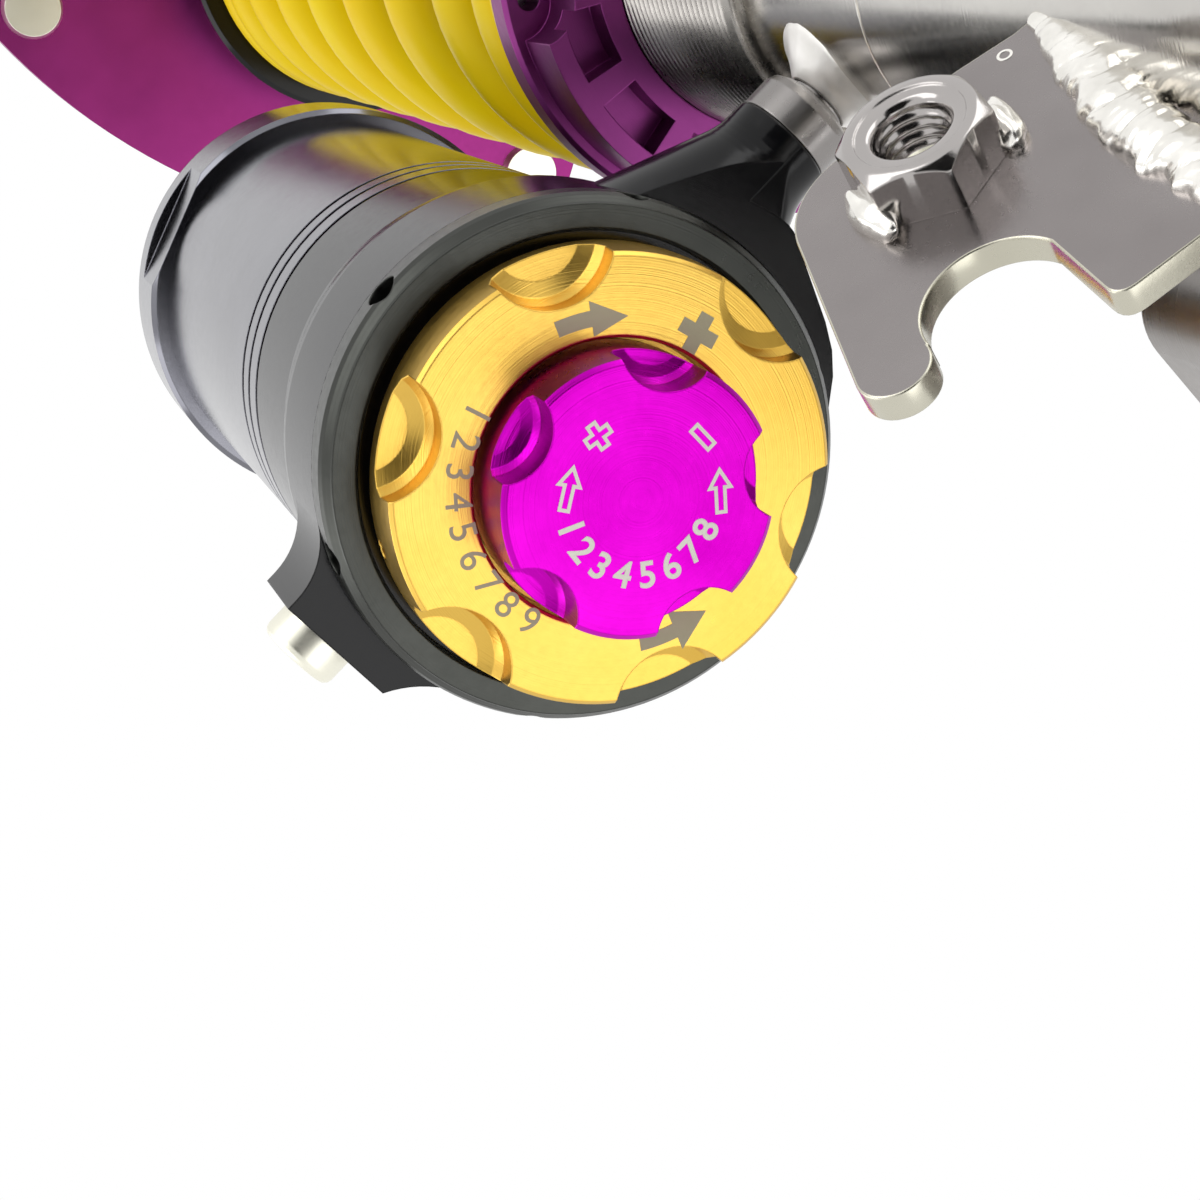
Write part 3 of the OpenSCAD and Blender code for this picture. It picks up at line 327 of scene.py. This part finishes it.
def make_world():
    """White behind the object and in its reflections, and a plain soft fill light."""
    world = bpy.data.worlds.new("studio")
    world.use_nodes = True
    bpy.context.scene.world = world
    tree = world.node_tree
    tree.nodes.clear()
    new, link = tree.nodes.new, tree.links.new
    out = new("ShaderNodeOutputWorld")
    ray = new("ShaderNodeLightPath")
    total = ray.outputs["Is Camera Ray"]
    for name in ("Is Glossy Ray", "Is Transmission Ray"):
        both = new("ShaderNodeMath")
        both.operation = "MAXIMUM"
        link(total, both.inputs[0])
        link(ray.outputs[name], both.inputs[1])
        total = both.outputs[0]
    seen = new("ShaderNodeMix")
    seen.data_type = "RGBA"
    link(total, seen.inputs[0])
    seen.inputs[6].default_value = (FILL_LIGHT, FILL_LIGHT, FILL_LIGHT, 1)
    seen.inputs[7].default_value = (1, 1, 1, 1)
    back = new("ShaderNodeBackground")
    link(seen.outputs[2], back.inputs[0])
    link(back.outputs[0], out.inputs[0])


def black_card(name, direction, distance, size, tone=0.02):
    """A black studio card beside the object, seen only in its polished metal."""
    way = Vector(direction).normalized()
    w, h = size[0] / 2, size[1] / 2
    mesh = bpy.data.meshes.new(name)
    mesh.from_pydata([(-w, -h, 0), (w, -h, 0), (w, h, 0), (-w, h, 0)], [], [(0, 1, 2, 3)])
    card = bpy.data.objects.new(name, mesh)
    card.location = Vector(LIGHT_AIM) + way * distance
    card.rotation_mode = "QUATERNION"
    card.rotation_quaternion = way.to_track_quat("Z", "Y")
    material = bpy.data.materials.new(name)
    material.use_nodes = True
    shader = material.node_tree.nodes["Principled BSDF"]
    shader.inputs["Base Color"].default_value = (tone, tone, tone, 1)
    shader.inputs["Roughness"].default_value = 1
    shader.inputs["Specular IOR Level"].default_value = 0
    mesh.materials.append(material)
    for ray in ("camera", "diffuse", "shadow", "transmission"):
        setattr(card, "visible_" + ray, False)
    bpy.context.scene.collection.objects.link(card)


def softbox(name, direction, distance, size, power):
    """A rectangular soft lamp, in watts, aimed at the part."""
    data = bpy.data.lights.new(name, "AREA")
    data.shape = "RECTANGLE"
    data.size, data.size_y = size
    data.energy = power
    lamp = bpy.data.objects.new(name, data)
    way = Vector(direction).normalized()
    lamp.location = Vector(LIGHT_AIM) + way * distance
    lamp.rotation_mode = "QUATERNION"
    lamp.rotation_quaternion = way.to_track_quat("Z", "Y")
    lamp.visible_camera = False
    bpy.context.scene.collection.objects.link(lamp)


def make_floor():
    """A pale floor under the foot. It shows from above and keeps the soft shadow."""
    gap = 0.5 * MM
    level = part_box("foot_tube")[0].z - gap
    mesh = bpy.data.meshes.new("floor")
    reach = 1.6
    mesh.from_pydata([(-reach, -reach, level), (reach, -reach, level),
                      (reach, reach, level), (-reach, reach, level)], [], [(0, 1, 2, 3)])
    floor = bpy.data.objects.new("floor", mesh)
    bpy.context.scene.collection.objects.link(floor)
    material = bpy.data.materials.new("floor")
    material.use_nodes = True
    tree = material.node_tree
    tree.nodes.clear()
    new, link = tree.nodes.new, tree.links.new
    out = new("ShaderNodeOutputMaterial")
    mix = new("ShaderNodeMixShader")
    clear = new("ShaderNodeBsdfTransparent")
    matt = new("ShaderNodeBsdfDiffuse")
    matt.inputs[0].default_value = (0.93, 0.93, 0.93, 1)
    ray = new("ShaderNodeLightPath")
    side = new("ShaderNodeNewGeometry")
    front = new("ShaderNodeMath")
    front.operation = "SUBTRACT"
    link(ray.outputs["Is Camera Ray"], front.inputs[0])
    link(side.outputs["Backfacing"], front.inputs[1])
    front.use_clamp = True
    where = new("ShaderNodeTexCoord")
    far = new("ShaderNodeVectorMath")
    far.operation = "LENGTH"
    link(where.outputs["Object"], far.inputs[0])
    fade = new("ShaderNodeMapRange")
    fade_from, fade_to = 0.75, 1.5
    for socket, value in zip(fade.inputs[1:5], (fade_from, fade_to, 1.0, 0.0)):
        socket.default_value = value
    link(far.outputs["Value"], fade.inputs[0])
    both = new("ShaderNodeMath")
    both.operation = "MULTIPLY"
    link(front.outputs[0], both.inputs[0])
    link(fade.outputs[0], both.inputs[1])
    link(both.outputs[0], mix.inputs[0])
    link(clear.outputs[0], mix.inputs[1])
    link(matt.outputs[0], mix.inputs[2])
    link(mix.outputs[0], out.inputs[0])
    mesh.materials.append(material)


# ---------------------------------------------------------------- mesh helpers

def add_object(name, mesh, body):
    """Shows a mesh as a piece that moves with a body."""
    obj = bpy.data.objects.new(name, mesh)
    bpy.context.scene.collection.objects.link(obj)
    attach(obj, body)
    return obj


def add_mesh(name, points, faces, material, body, smooth=True):
    mesh = bpy.data.meshes.new(name)
    mesh.from_pydata([tuple(p) for p in points], [], faces)
    mesh.materials.append(material)
    if smooth:
        mesh.shade_smooth()
    return add_object(name, mesh, body)


def ring_faces(rings, sides, loop=False):
    """Quads between rings of points, and from the last ring to the first in a loop."""
    faces = []
    for i in range(rings if loop else rings - 1):
        low, high = i * sides, ((i + 1) % rings) * sides
        for j in range(sides):
            k = (j + 1) % sides
            faces.append((low + j, low + k, high + k, high + j))
    return faces


def fix_normals(obj):
    bm = bmesh.new()
    bm.from_mesh(obj.data)
    bmesh.ops.recalc_face_normals(bm, faces=bm.faces)
    bm.to_mesh(obj.data)
    bm.free()


def shade_by_angle(obj, degrees):
    """Smooth shading with sharp edges wherever two faces meet at more than an angle."""
    mesh = obj.data
    mesh.shade_smooth()
    bm = bmesh.new()
    bm.from_mesh(mesh)
    bmesh.ops.recalc_face_normals(bm, faces=bm.faces)
    for edge in bm.edges:
        edge.smooth = len(edge.link_faces) < 2 or edge.calc_face_angle(0) < math.radians(degrees)
    bm.to_mesh(mesh)
    bm.free()


# ---------------------------------------------------------------- spring

WIRE = 5.3 * MM           # radius of the wire
COIL = 32.9 * MM          # radius to the wire's centre
SPRING_LOW = -308.45 * MM
SPRING_TOP = -34.05 * MM
PITCH = 37 * MM           # rise of an open turn
CLOSED = 11.1 * MM        # rise of an end turn
RAMP = 1.0                # turns over which one becomes the other
END_TURNS = 1.0


def spring_law():
    """Total turns, and the rise of the wire's centre after t turns."""
    room = SPRING_TOP - SPRING_LOW - 2 * WIRE
    mid = (room - 2 * END_TURNS * CLOSED - RAMP * (PITCH + CLOSED)) / PITCH
    total = 2 * END_TURNS + 2 * RAMP + mid

    def end_rise(t):
        past = max(0.0, t - END_TURNS)
        return CLOSED * t + (PITCH - CLOSED) * past * past / (2 * RAMP)

    def rise(t):
        if t < END_TURNS + RAMP:
            return end_rise(t)
        if t > total - END_TURNS - RAMP:
            return room - end_rise(total - t)
        return end_rise(END_TURNS + RAMP) + PITCH * (t - END_TURNS - RAMP)

    return total, rise


def make_spring():
    """The spring with closed ends."""
    sides, per_turn = 28, 72
    total, rise = spring_law()
    steps = math.ceil(total * per_turn)
    points = []
    for i in range(steps + 1):
        t = total * i / steps
        a = math.tau * t
        z = SPRING_LOW + WIRE + rise(t)
        for j in range(sides):
            b = math.tau * j / sides
            r = COIL + WIRE * math.cos(b)
            points.append((r * math.cos(a), r * math.sin(a), z + WIRE * math.sin(b)))
    faces = ring_faces(steps + 1, sides)
    faces.append(tuple(range(sides)))
    faces.append(tuple(steps * sides + j for j in reversed(range(sides))))
    spring = add_mesh("main_spring_wound", points, [f[::-1] for f in faces],
                      MATS["spring_paint"], "spring_ring")
    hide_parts("main_spring")
    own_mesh(spring)


# ---------------------------------------------------------------- sleeve thread

SLEEVE = 26 * MM
THREAD_PITCH = 2 * MM
THREAD_DEPTH = 0.75 * MM
SLEEVE_CHAMFER = 1.2 * MM


def make_sleeve():
    """The threaded sleeve with its real 2 mm thread, closed on the tube behind it."""
    low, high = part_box("thread_sleeve")[0].z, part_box("thread_sleeve")[1].z
    sides, per_pitch = 96, 5
    steps = round((high - low) / THREAD_PITCH * per_pitch)
    points = []
    rim = SLEEVE - SLEEVE_CHAMFER
    rows = [(low, TUBE, False), (low, rim, False)]
    rows += [(low + (high - low) * (i + 0.5) / steps, SLEEVE, True) for i in range(steps)]
    rows += [(high, rim, False), (high, TUBE, False)]
    for z, radius, cut in rows:
        for j in range(sides):
            a = math.tau * j / sides
            r = radius
            if cut:
                phase = (z / THREAD_PITCH - j / sides) % 1
                r -= THREAD_DEPTH * min(1, max(0, abs(phase - 0.5) * 2.6 - 0.25))
                r = min(r, rim + (z - low) * 1.2, rim + (high - z) * 1.2)
            points.append((r * math.cos(a), r * math.sin(a), z))
    faces = ring_faces(len(rows), sides, loop=True)
    piece = add_mesh("thread_sleeve_cut", points, faces, MATS["thread"], "strut")
    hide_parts("thread_sleeve")


# ---------------------------------------------------------------- link bracket and nut

LINK = (Matrix.Translation((39.8 * MM, 11.6 * MM, -457.6 * MM))
        @ Matrix.Rotation(math.radians(7.5), 4, "Z") @ Matrix.Rotation(math.radians(-109), 4, "X"))


def on_link(x, y, h):
    """A point given on the link bracket's front face, in mm, and its height off it."""
    return LINK @ Vector((x * MM, y * MM, h * MM))


def make_weld_nut():
    """Weld nut with its chamfered corners, stepped face and 1.25 mm thread."""
    flats, top, tilt, sides = 7.0, 6.0, 50.0, 120
    pad_radius, washer_radius, bore_edge, crest = 6.72, 5.75, 4.55, 3.42
    half_turn = 30
    rows = []

    def hexagon(a):
        return flats / math.cos(math.radians((a - tilt + half_turn) % 60 - half_turn))

    def row(radius, height):
        rows.append([(radius(a) if callable(radius) else radius,
                      height(a) if callable(height) else height)
                     for a in (360 * j / sides for j in range(sides))])

    row(hexagon, 0)
    row(hexagon, lambda a: top - 0.15 - (hexagon(a) - 6.85) * 0.85)
    row(lambda a: min(hexagon(a), 6.9), top - 0.12)
    row(pad_radius, top)
    row(washer_radius, top)
    row(washer_radius - 0.15, top - 0.22)
    row(bore_edge, top - 0.28)
    row(bore_edge - 0.17, top - 0.35)
    pitch, levels = 1.25, 9
    count = round((top - 1.1) / pitch * levels)
    for i in range(count + 1):
        h = top - 0.9 - (top - 1.1) * i / count
        fade = min(1, i / levels)
        row(lambda a: crest + fade * 0.5 * abs(((h / pitch - a / 360) % 1) * 2 - 1)
            + (1 - fade) * 0.55, h)
    row(3.9, 0)
    points = []
    for ring in rows:
        for j, (r, h) in enumerate(ring):
            a = math.tau * j / sides
            points.append(on_link(r * math.cos(a), r * math.sin(a), h))
    nut = add_mesh("weld_nut_threaded", points, ring_faces(len(rows), sides, loop=True),
                   MATS["nut"], "strut", smooth=False)
    shade_by_angle(nut, 34)
    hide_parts("weld_nut")


def arc(centre, radius, start, stop, step=4.0):
    count = max(2, math.ceil(abs(stop - start) / step))
    angles = [math.radians(start + (stop - start) * i / count) for i in range(count + 1)]
    return [(centre[0] + radius * math.cos(a), centre[1] + radius * math.sin(a))
            for a in angles]


def rounded_corner(before, corner, after, radius, steps=6):
    """Points of a round corner between two straight edges."""
    p, a, b = Vector(corner), Vector(before), Vector(after)
    u, v = (a - p).normalized(), (b - p).normalized()
    half = u.angle(v) / 2
    reach = radius / math.tan(half)
    start, stop = p + u * reach, p + v * reach
    return [tuple((1 - t) ** 2 * start + 2 * t * (1 - t) * p + t * t * stop)
            for t in (i / steps for i in range(steps + 1))]


def sheet_solid(name, outlines, low, high, bevel, place):
    """A flat solid from closed outlines in mm, with small round edges, as a mesh."""
    curve = bpy.data.curves.new(name, "CURVE")
    curve.dimensions = "2D"
    curve.fill_mode = "BOTH"
    curve.extrude = ((high - low) / 2 - bevel) * MM
    curve.bevel_depth = bevel * MM
    curve.bevel_resolution = 2
    curve.offset = -bevel * MM
    for outline in outlines:
        spline = curve.splines.new("POLY")
        spline.points.add(len(outline) - 1)
        for point, (x, y) in zip(spline.points, outline):
            point.co = (x * MM, y * MM, 0, 1)
        spline.use_cyclic_u = True
    maker = bpy.data.objects.new(name, curve)
    mesh = maker.to_mesh().copy()
    mesh.transform(place @ Matrix.Translation((0, 0, (low + high) / 2 * MM)))
    return mesh


def make_link_plate():
    """Link bracket plate: a rounded shoulder, a hooked finger and a hose notch."""
    thickness, edge, bore = 3.2, 0.22, 4.6
    shoulder, lobe, notch = (4.6, -0.8), (18.5, 18.2), (7.3, 20.2)
    outline = [(-19.6, -8.2), (-17.4, -8.2), (-10.7, -9.5)]
    outline += arc(shoulder, 10, -94, -20.4)
    outline += arc(lobe, 3.75, -20.4, 169.9, 8)
    outline += arc(notch, 7.5, -10.1, -170)
    outline += rounded_corner((0.2, 21.9), (1.5, 30.1), (-7.5, 30.8), 2.2)
    outline += [(-7.5, 30.8), (-18.6, 31.9), (-19.4, 20), (-19.6, 5)]
    mesh = sheet_solid("link_plate", [outline, arc((0, 0), bore, 0, 352, 8)],
                       -thickness, 0, edge, LINK)
    mesh.materials.append(MATS["nickel_plate"])
    mesh.materials.append(MATS["plate_edge_painted_highlight"])
    up = (LINK.to_3x3() @ Vector((0, 0, 1))).normalized()
    # side walls take the lighter copy of the plate's finish: a painted highlight along the edges
    for face in mesh.polygons:
        face.material_index = 0 if abs(face.normal.dot(up)) > 0.97 else 1
    plate = add_object("link_plate", mesh, "strut")
    shade_by_angle(plate, 40)
    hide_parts("link_bracket")
    spot = (-14.7, -6.4)
    ring = sheet_solid("hardness_mark", [arc(spot, 0.85, 0, 345, 15),
                                         arc(spot, 0.55, 0, 340, 20)],
                       0.0, 0.05, 0.01, LINK)
    ring.materials.append(MATS["weld"])
    add_object("hardness_mark", ring, "strut")


def blob(name, centre, size, seed, spin=0.0):
    """A small frozen puddle of weld metal on the bracket plate."""
    bm = bmesh.new()
    bmesh.ops.create_icosphere(bm, subdivisions=4, radius=1)
    for v in bm.verts:
        lump = 1 + 0.20 * noise.noise(v.co * 1.4 + Vector((seed, 0, 0)))
        lump += 0.04 * noise.noise(v.co * 3.5 + Vector((0, seed, 0)))
        x, y = v.co.x * size[0] * lump, v.co.y * size[1] * lump
        c, q = math.cos(spin), math.sin(spin)
        v.co = on_link(centre[0] + x * c - y * q, centre[1] + x * q + y * c,
                       centre[2] + v.co.z * size[2] * lump)
    mesh = bpy.data.meshes.new(name)
    bm.to_mesh(mesh)
    bm.free()
    mesh.materials.append(MATS["weld"])
    mesh.shade_smooth()
    add_object(name, mesh, "strut")


def bead(name, path, widths, replaces=(), pitch=4.3, seed=3.0, lift=0.75):
    """A stacked weld bead: overlapping puddles with crescent edges and fine ripples."""
    per_mm, sides = 8, 44
    lengths = [0]
    for a, b in zip(path, path[1:]):
        lengths.append(lengths[-1] + math.dist(a, b))
    total = lengths[-1]
    steps = round(total * per_mm)

    def at(values, s):
        for i in range(len(lengths) - 1):
            if s <= lengths[i + 1] or i == len(lengths) - 2:
                t = (s - lengths[i]) / (lengths[i + 1] - lengths[i])
                return values[i] + (values[i + 1] - values[i]) * min(1, max(0, t))

    xs, ys = [p[0] for p in path], [p[1] for p in path]
    points = []
    for i in range(steps + 1):
        s = total * i / steps
        x, y, w = at(xs, s), at(ys, s), at(widths, s)
        ahead, back = min(total, s + 2.0), max(0, s - 2.0)
        dx, dy = at(xs, ahead) - at(xs, back), at(ys, ahead) - at(ys, back)
        norm = math.hypot(dx, dy)
        nx, ny = dy / norm, -dx / norm
        near_end = min(s, total - s) / (w * 0.8)
        cap = math.sqrt(max(0.0, 1 - max(0, 1 - near_end) ** 2))
        for j in range(sides):
            b = math.tau * j / sides
            across, up = math.cos(b), math.sin(b)
            stray = 0.5 * noise.noise(Vector((s * 0.13, across * 0.7, seed)))
            turn = (s + 0.42 * w * across * across) / pitch + stray
            lump, count = turn % 1, math.floor(turn)
            tall = math.sqrt(max(0.0, 1 - ((lump - 0.42) / 0.62) ** 2))
            size = 1 + 0.12 * noise.noise(Vector((count * 3.7, seed, 0)))
            edge = 0.16 if up > 0 else 0.08
            r = w * size * (1 - edge + edge * tall)
            r *= 1 + 0.008 * math.sin(math.tau * (lump * 4 + 0.2 * across))
            r *= 1 + 0.07 * noise.noise(Vector((s * 0.55, across * 1.6, up * 1.6 + seed)))
            r *= max(cap, 0.02)
            flat = 1 + 0.3 * abs(across) ** 3 * noise.noise(Vector((s * 0.4, across, seed)))
            points.append(on_link(x + nx * across * r * flat, y + ny * across * r * flat,
                                  up * r * lift))
    faces = ring_faces(steps + 1, sides)
    faces.append(tuple(reversed(range(sides))))
    faces.append(tuple(steps * sides + j for j in range(sides)))
    piece = add_mesh(name, points, faces, MATS["weld"], "strut")
    fix_normals(piece)
    if replaces:
        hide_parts(*replaces)
    return piece


def make_bracket_welds():
    """The long bead in front of the link bracket, and a smaller one behind it."""
    path = [(-20.0, -8.4), (-19.8, -4.5), (-18.5, 0), (-17.5, 5), (-15.9, 9), (-14.6, 13.5),
            (-14.0, 17.6), (-14.1, 21), (-14.0, 24.6), (-13.4, 30)]
    widths = [1.0, 2.0, 2.9, 3.4, 3.6, 3.6, 3.5, 3.3, 3.3, 2.9]
    bead("bracket_weld_front", path, widths, ("bracket_welds",))
    under = [(x + 0.6, y) for x, y in path]
    back = bead("bracket_weld_back", under, [w * 0.6 for w in widths], seed=9.0)
    drop = LINK @ Matrix.Translation((0, 0, -3.2 * MM)) @ LINK.inverted()
    back.data.transform(drop)


# ---------------------------------------------------------------- gallery fitting



def make_transfer_weld():
    """Smooth weld flare that carries the fitting's stem on the strut tube."""
    foot, stem, inner, top_x, sides, rings = 9.5, 4.15, 4.06, 25.6, 96, 22
    points = []
    for i in range(rings):
        t = i / (rings - 1)
        for j in range(sides):
            b = math.tau * j / sides
            ripple = 0.5 * noise.noise(Vector((math.cos(b) * 1.3, math.sin(b) * 1.3, 2)))
            ripple += 0.22 * noise.noise(Vector((math.cos(b) * 5, math.sin(b) * 5, 7)))
            r = stem + (foot + ripple - stem) * (1 - t)
            y, z = r * math.cos(b) * MM, r * math.sin(b) * MM
            skin = math.sqrt(TUBE * TUBE - y * y) / MM
            swell = 0.14 * (1 - math.exp(-25 * t)) + 0.30 * t + 0.56 * t ** 1.7
            bump = 0.25 * noise.noise(Vector((y * 260, z * 260, 4))) * math.sin(math.pi * t)
            x = skin - 0.5 + (top_x - skin + 0.5) * swell + bump
            points.append((x * MM, y, GALLERY + z))
    for j in range(sides):
        b = math.tau * j / sides
        points.append(((top_x - 5) * MM, inner * MM * math.cos(b),
                       GALLERY + inner * MM * math.sin(b)))
    piece = add_mesh("transfer_weld_flare", points, ring_faces(rings + 1, sides),
                     MATS["weld_flare"], "strut")
    fix_normals(piece)
    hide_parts("transfer_weld")


def make_neck():
    """The half of the head's round neck, between fitting and block, that the CAD lacks."""
    start, radius, fillet, angle = 32.02, 6.95, 10.0, math.radians(22)
    curve_start, stop, half_block, bore, skin = 34.4, 48.0, 7.0, 4.95, 0.03
    profile = [(start, bore), (start, radius - 0.35), (start + 0.38, radius)]
    for i in range(9):
        a = angle * i / 8
        profile.append((curve_start + fillet * math.sin(a), radius + fillet * (1 - math.cos(a))))
    last_x, last_r = profile[-1]
    for i in range(1, 13):
        x = last_x + (stop - last_x) * i / 12
        profile.append((x, last_r + (x - last_x) * math.tan(angle)))
    profile.append((stop, bore))
    sides = 48
    points = []
    for x, r in profile:
        for j in range(sides + 1):
            b = math.pi + math.pi * j / sides
            up, side = r * math.cos(b), r * math.sin(b)
            up = min(half_block - skin, max(-half_block + skin, up))
            points.append((x * MM, (side + 0.02) * MM, GALLERY + up * MM))
    count, row = len(profile), sides + 1
    faces = []
    for i in range(count):
        k = (i + 1) % count
        for j in range(sides):
            faces.append((i * row + j, i * row + j + 1, k * row + j + 1, k * row + j))
    faces.append(tuple(i * row for i in range(count)))
    faces.append(tuple(i * row + sides for i in reversed(range(count))))
    piece = add_mesh("head_neck_lower", points, faces, MATS["gloss_black"], "strut",
                     smooth=False)
    shade_by_angle(piece, 30)


# ---------------------------------------------------------------- dial markings

def flat_mark(name, outlines, level, material, body, thick=0.05):
    """Thin filled shapes on a knob's face, from outlines in mm about the knob axis."""
    bm = bmesh.new()
    for outline in outlines:
        ring = [bm.verts.new((RES_X + x * MM, RES_Y + y * MM, level)) for x, y in outline]
        face = bm.faces.new(ring)
        made = bmesh.ops.extrude_face_region(bm, geom=[face])
        for v in made["geom"]:
            if isinstance(v, bmesh.types.BMVert):
                v.co.z -= thick * MM
    bmesh.ops.recalc_face_normals(bm, faces=bm.faces)
    mesh = bpy.data.meshes.new(name)
    bm.to_mesh(mesh)
    bm.free()
    mesh.materials.append(material)
    add_object(name, mesh, body)


def polar(radius, degrees):
    a = math.radians(degrees)
    return radius * math.cos(a), radius * math.sin(a)


def placed(shape, radius, degrees, turn):
    """Moves a small flat shape to a place on the face; turn 0 points it outwards."""
    cx, cy = polar(radius, degrees)
    a = math.radians(degrees + turn)
    return [(cx + x * math.cos(a) - y * math.sin(a), cy + x * math.sin(a) + y * math.cos(a))
            for x, y in shape]


def plus_shape(reach, half):
    return [(half, half), (half, reach), (-half, reach), (-half, half), (-reach, half),
            (-reach, -half), (-half, -half), (-half, -reach), (half, -reach), (half, -half),
            (reach, -half), (reach, half)]


def arrow_shape(length, head, wing, half):
    """An arrow along x with its tip at +length / 2."""
    tip, neck = length / 2, length / 2 - head
    return [(-tip, -half), (neck, -half), (neck, -wing), (tip, 0), (neck, wing), (neck, half),
            (-tip, half)]


def bent_arrow(radius, start, stop, head, wing, half, steps=10):
    """An arrow bent round the knob from one azimuth to another."""
    sign = 1 if stop > start else -1
    neck = stop - sign * math.degrees(head / radius)
    outer = [polar(radius + half, start + (neck - start) * i / steps) for i in range(steps + 1)]
    inner = [polar(radius - half, start + (neck - start) * i / steps) for i in range(steps + 1)]
    return (outer + [polar(radius + wing, neck), polar(radius, stop), polar(radius - wing, neck)]
            + inner[::-1])


def stroke(outline, width):
    """The band just inside a closed outline, as one strip of four-sided pieces."""
    count = len(outline)
    area = sum(outline[i][0] * outline[(i + 1) % count][1]
               - outline[(i + 1) % count][0] * outline[i][1] for i in range(count))
    way = 1 if area > 0 else -1
    inner = []
    for i in range(count):
        p, a, b = (Vector(outline[k % count]) for k in (i, i - 1, i + 1))
        u, v = (p - a).normalized(), (b - p).normalized()
        nu, nv = Vector((-u.y, u.x)) * way, Vector((-v.y, v.x)) * way
        mitre = nu + nv
        mitre = mitre / max(0.35, mitre.length_squared / 2)
        inner.append(tuple(p + mitre * width))
    return [[outline[i], outline[(i + 1) % count], inner[(i + 1) % count], inner[i]]
            for i in range(count)]


def digit_marks(name, digits, radius, first, step, height, level, material, body,
                fat=0.0):
    """Plain dial numbers set round the face, their feet towards the rim."""
    pieces = []
    for k, text in enumerate(digits):
        curve = bpy.data.curves.new(name, "FONT")
        curve.body = text
        curve.align_x = "CENTER"
        curve.align_y = "CENTER"
        curve.size = height * 1.42 * MM
        curve.bevel_depth = fat * MM
        curve.bevel_resolution = 1
        curve.extrude = 0.01 * MM
        letter = bpy.data.objects.new(name, curve)
        x, y = polar(radius, first + step * k)
        angle = math.radians(first + step * k)
        # seen from below, so the face is mirrored about its own upright
        facing = Matrix(((math.sin(angle), -math.cos(angle), 0),
                         (-math.cos(angle), -math.sin(angle), 0), (0, 0, -1))).to_4x4()
        mesh = letter.to_mesh().copy()
        mesh.transform(Matrix.Translation((RES_X + x * MM, RES_Y + y * MM, level)) @ facing)
        pieces.append(mesh)
    bm = bmesh.new()
    for mesh in pieces:
        bm.from_mesh(mesh)
    bmesh.ops.remove_doubles(bm, verts=bm.verts, dist=1e-7)
    whole = bpy.data.meshes.new(name)
    bm.to_mesh(whole)
    bm.free()
    whole.materials.clear()
    whole.materials.append(material)
    add_object(name, whole, body)


def make_markings():
    """Plain numbers, arrows, plus and minus on the two dials; sizes in mm, angles in degrees."""
    grey, cream = MATS["mark_grey"], MATS["mark_cream"]
    gold_marks = [bent_arrow(19.8, 113, 138.5, 4.5, 2.1, 0.95),
                  placed(plus_shape(2.45, 0.9), 20.05, 164.4, 0),
                  bent_arrow(20.1, -55, -81, 4.5, 2.6, 0.95)]
    flat_mark("gold_marks", gold_marks, GOLD_FACE, grey, "high_speed_adjuster")
    digit_marks("gold_numbers", "123456789", 19.2, 73.5, -10.7, 3.3, GOLD_FACE, grey,
                "high_speed_adjuster", fat=0.02)
    outlines = [placed(plus_shape(1.75, 0.72), 9.4, 100.6, 0),
                placed([(-0.75, -1.75), (0.75, -1.75), (0.75, 1.75), (-0.75, 1.75)],
                       10.1, -179.3, 0),
                placed(arrow_shape(5.6, 2.7, 1.65, 0.75), 8.9, 57.5, 90),
                placed(arrow_shape(5.6, 2.7, 1.65, 0.75), 9.6, -139.5, -90)]
    bands = [band for outline in outlines for band in stroke(outline, 0.42)]
    flat_mark("magenta_marks", bands, MAGENTA_FACE, cream, "low_speed_adjuster")
    digit_marks("magenta_numbers", "12345678", 8.9, 27, -19.5, 3.1, MAGENTA_FACE, cream,
                "low_speed_adjuster", fat=0.10)


# ---------------------------------------------------------------- build

make_camera()
make_world()
make_floor()
dress_nodes()
make_spring()
make_sleeve()
make_weld_nut()
make_link_plate()
make_bracket_welds()
make_transfer_weld()
make_neck()
blob("nut_tack_left", (7.4, 0.6, 0.6), (1.9, 4.6, 2.3), 2.0, -0.1)
blob("nut_tack_right", (-7.6, 2.6, 0.5), (1.7, 4.0, 2.0), 7.0, -0.3)
make_markings()

softbox("front_box", (-0.05, -0.42, -0.9), 0.8, (0.6, 0.6), 1.3)
softbox("key_box", (0.25, 0.85, -0.1), 0.9, (0.9, 0.5), 2.6)
softbox("left_box", (0.9, 0.2, 0.25), 0.9, (0.4, 0.8), 1.8)
softbox("right_box", (-0.8, 0.4, -0.2), 0.9, (0.4, 0.8), 1.6)
black_card("camera_card", (0.03, 0.42, -0.9), 0.85, (0.75, 0.75))
black_card("crown_card", (-0.22, -0.28, 0.93), 0.9, (0.5, 0.28))

bpy.context.scene.view_settings.view_transform = "Standard"
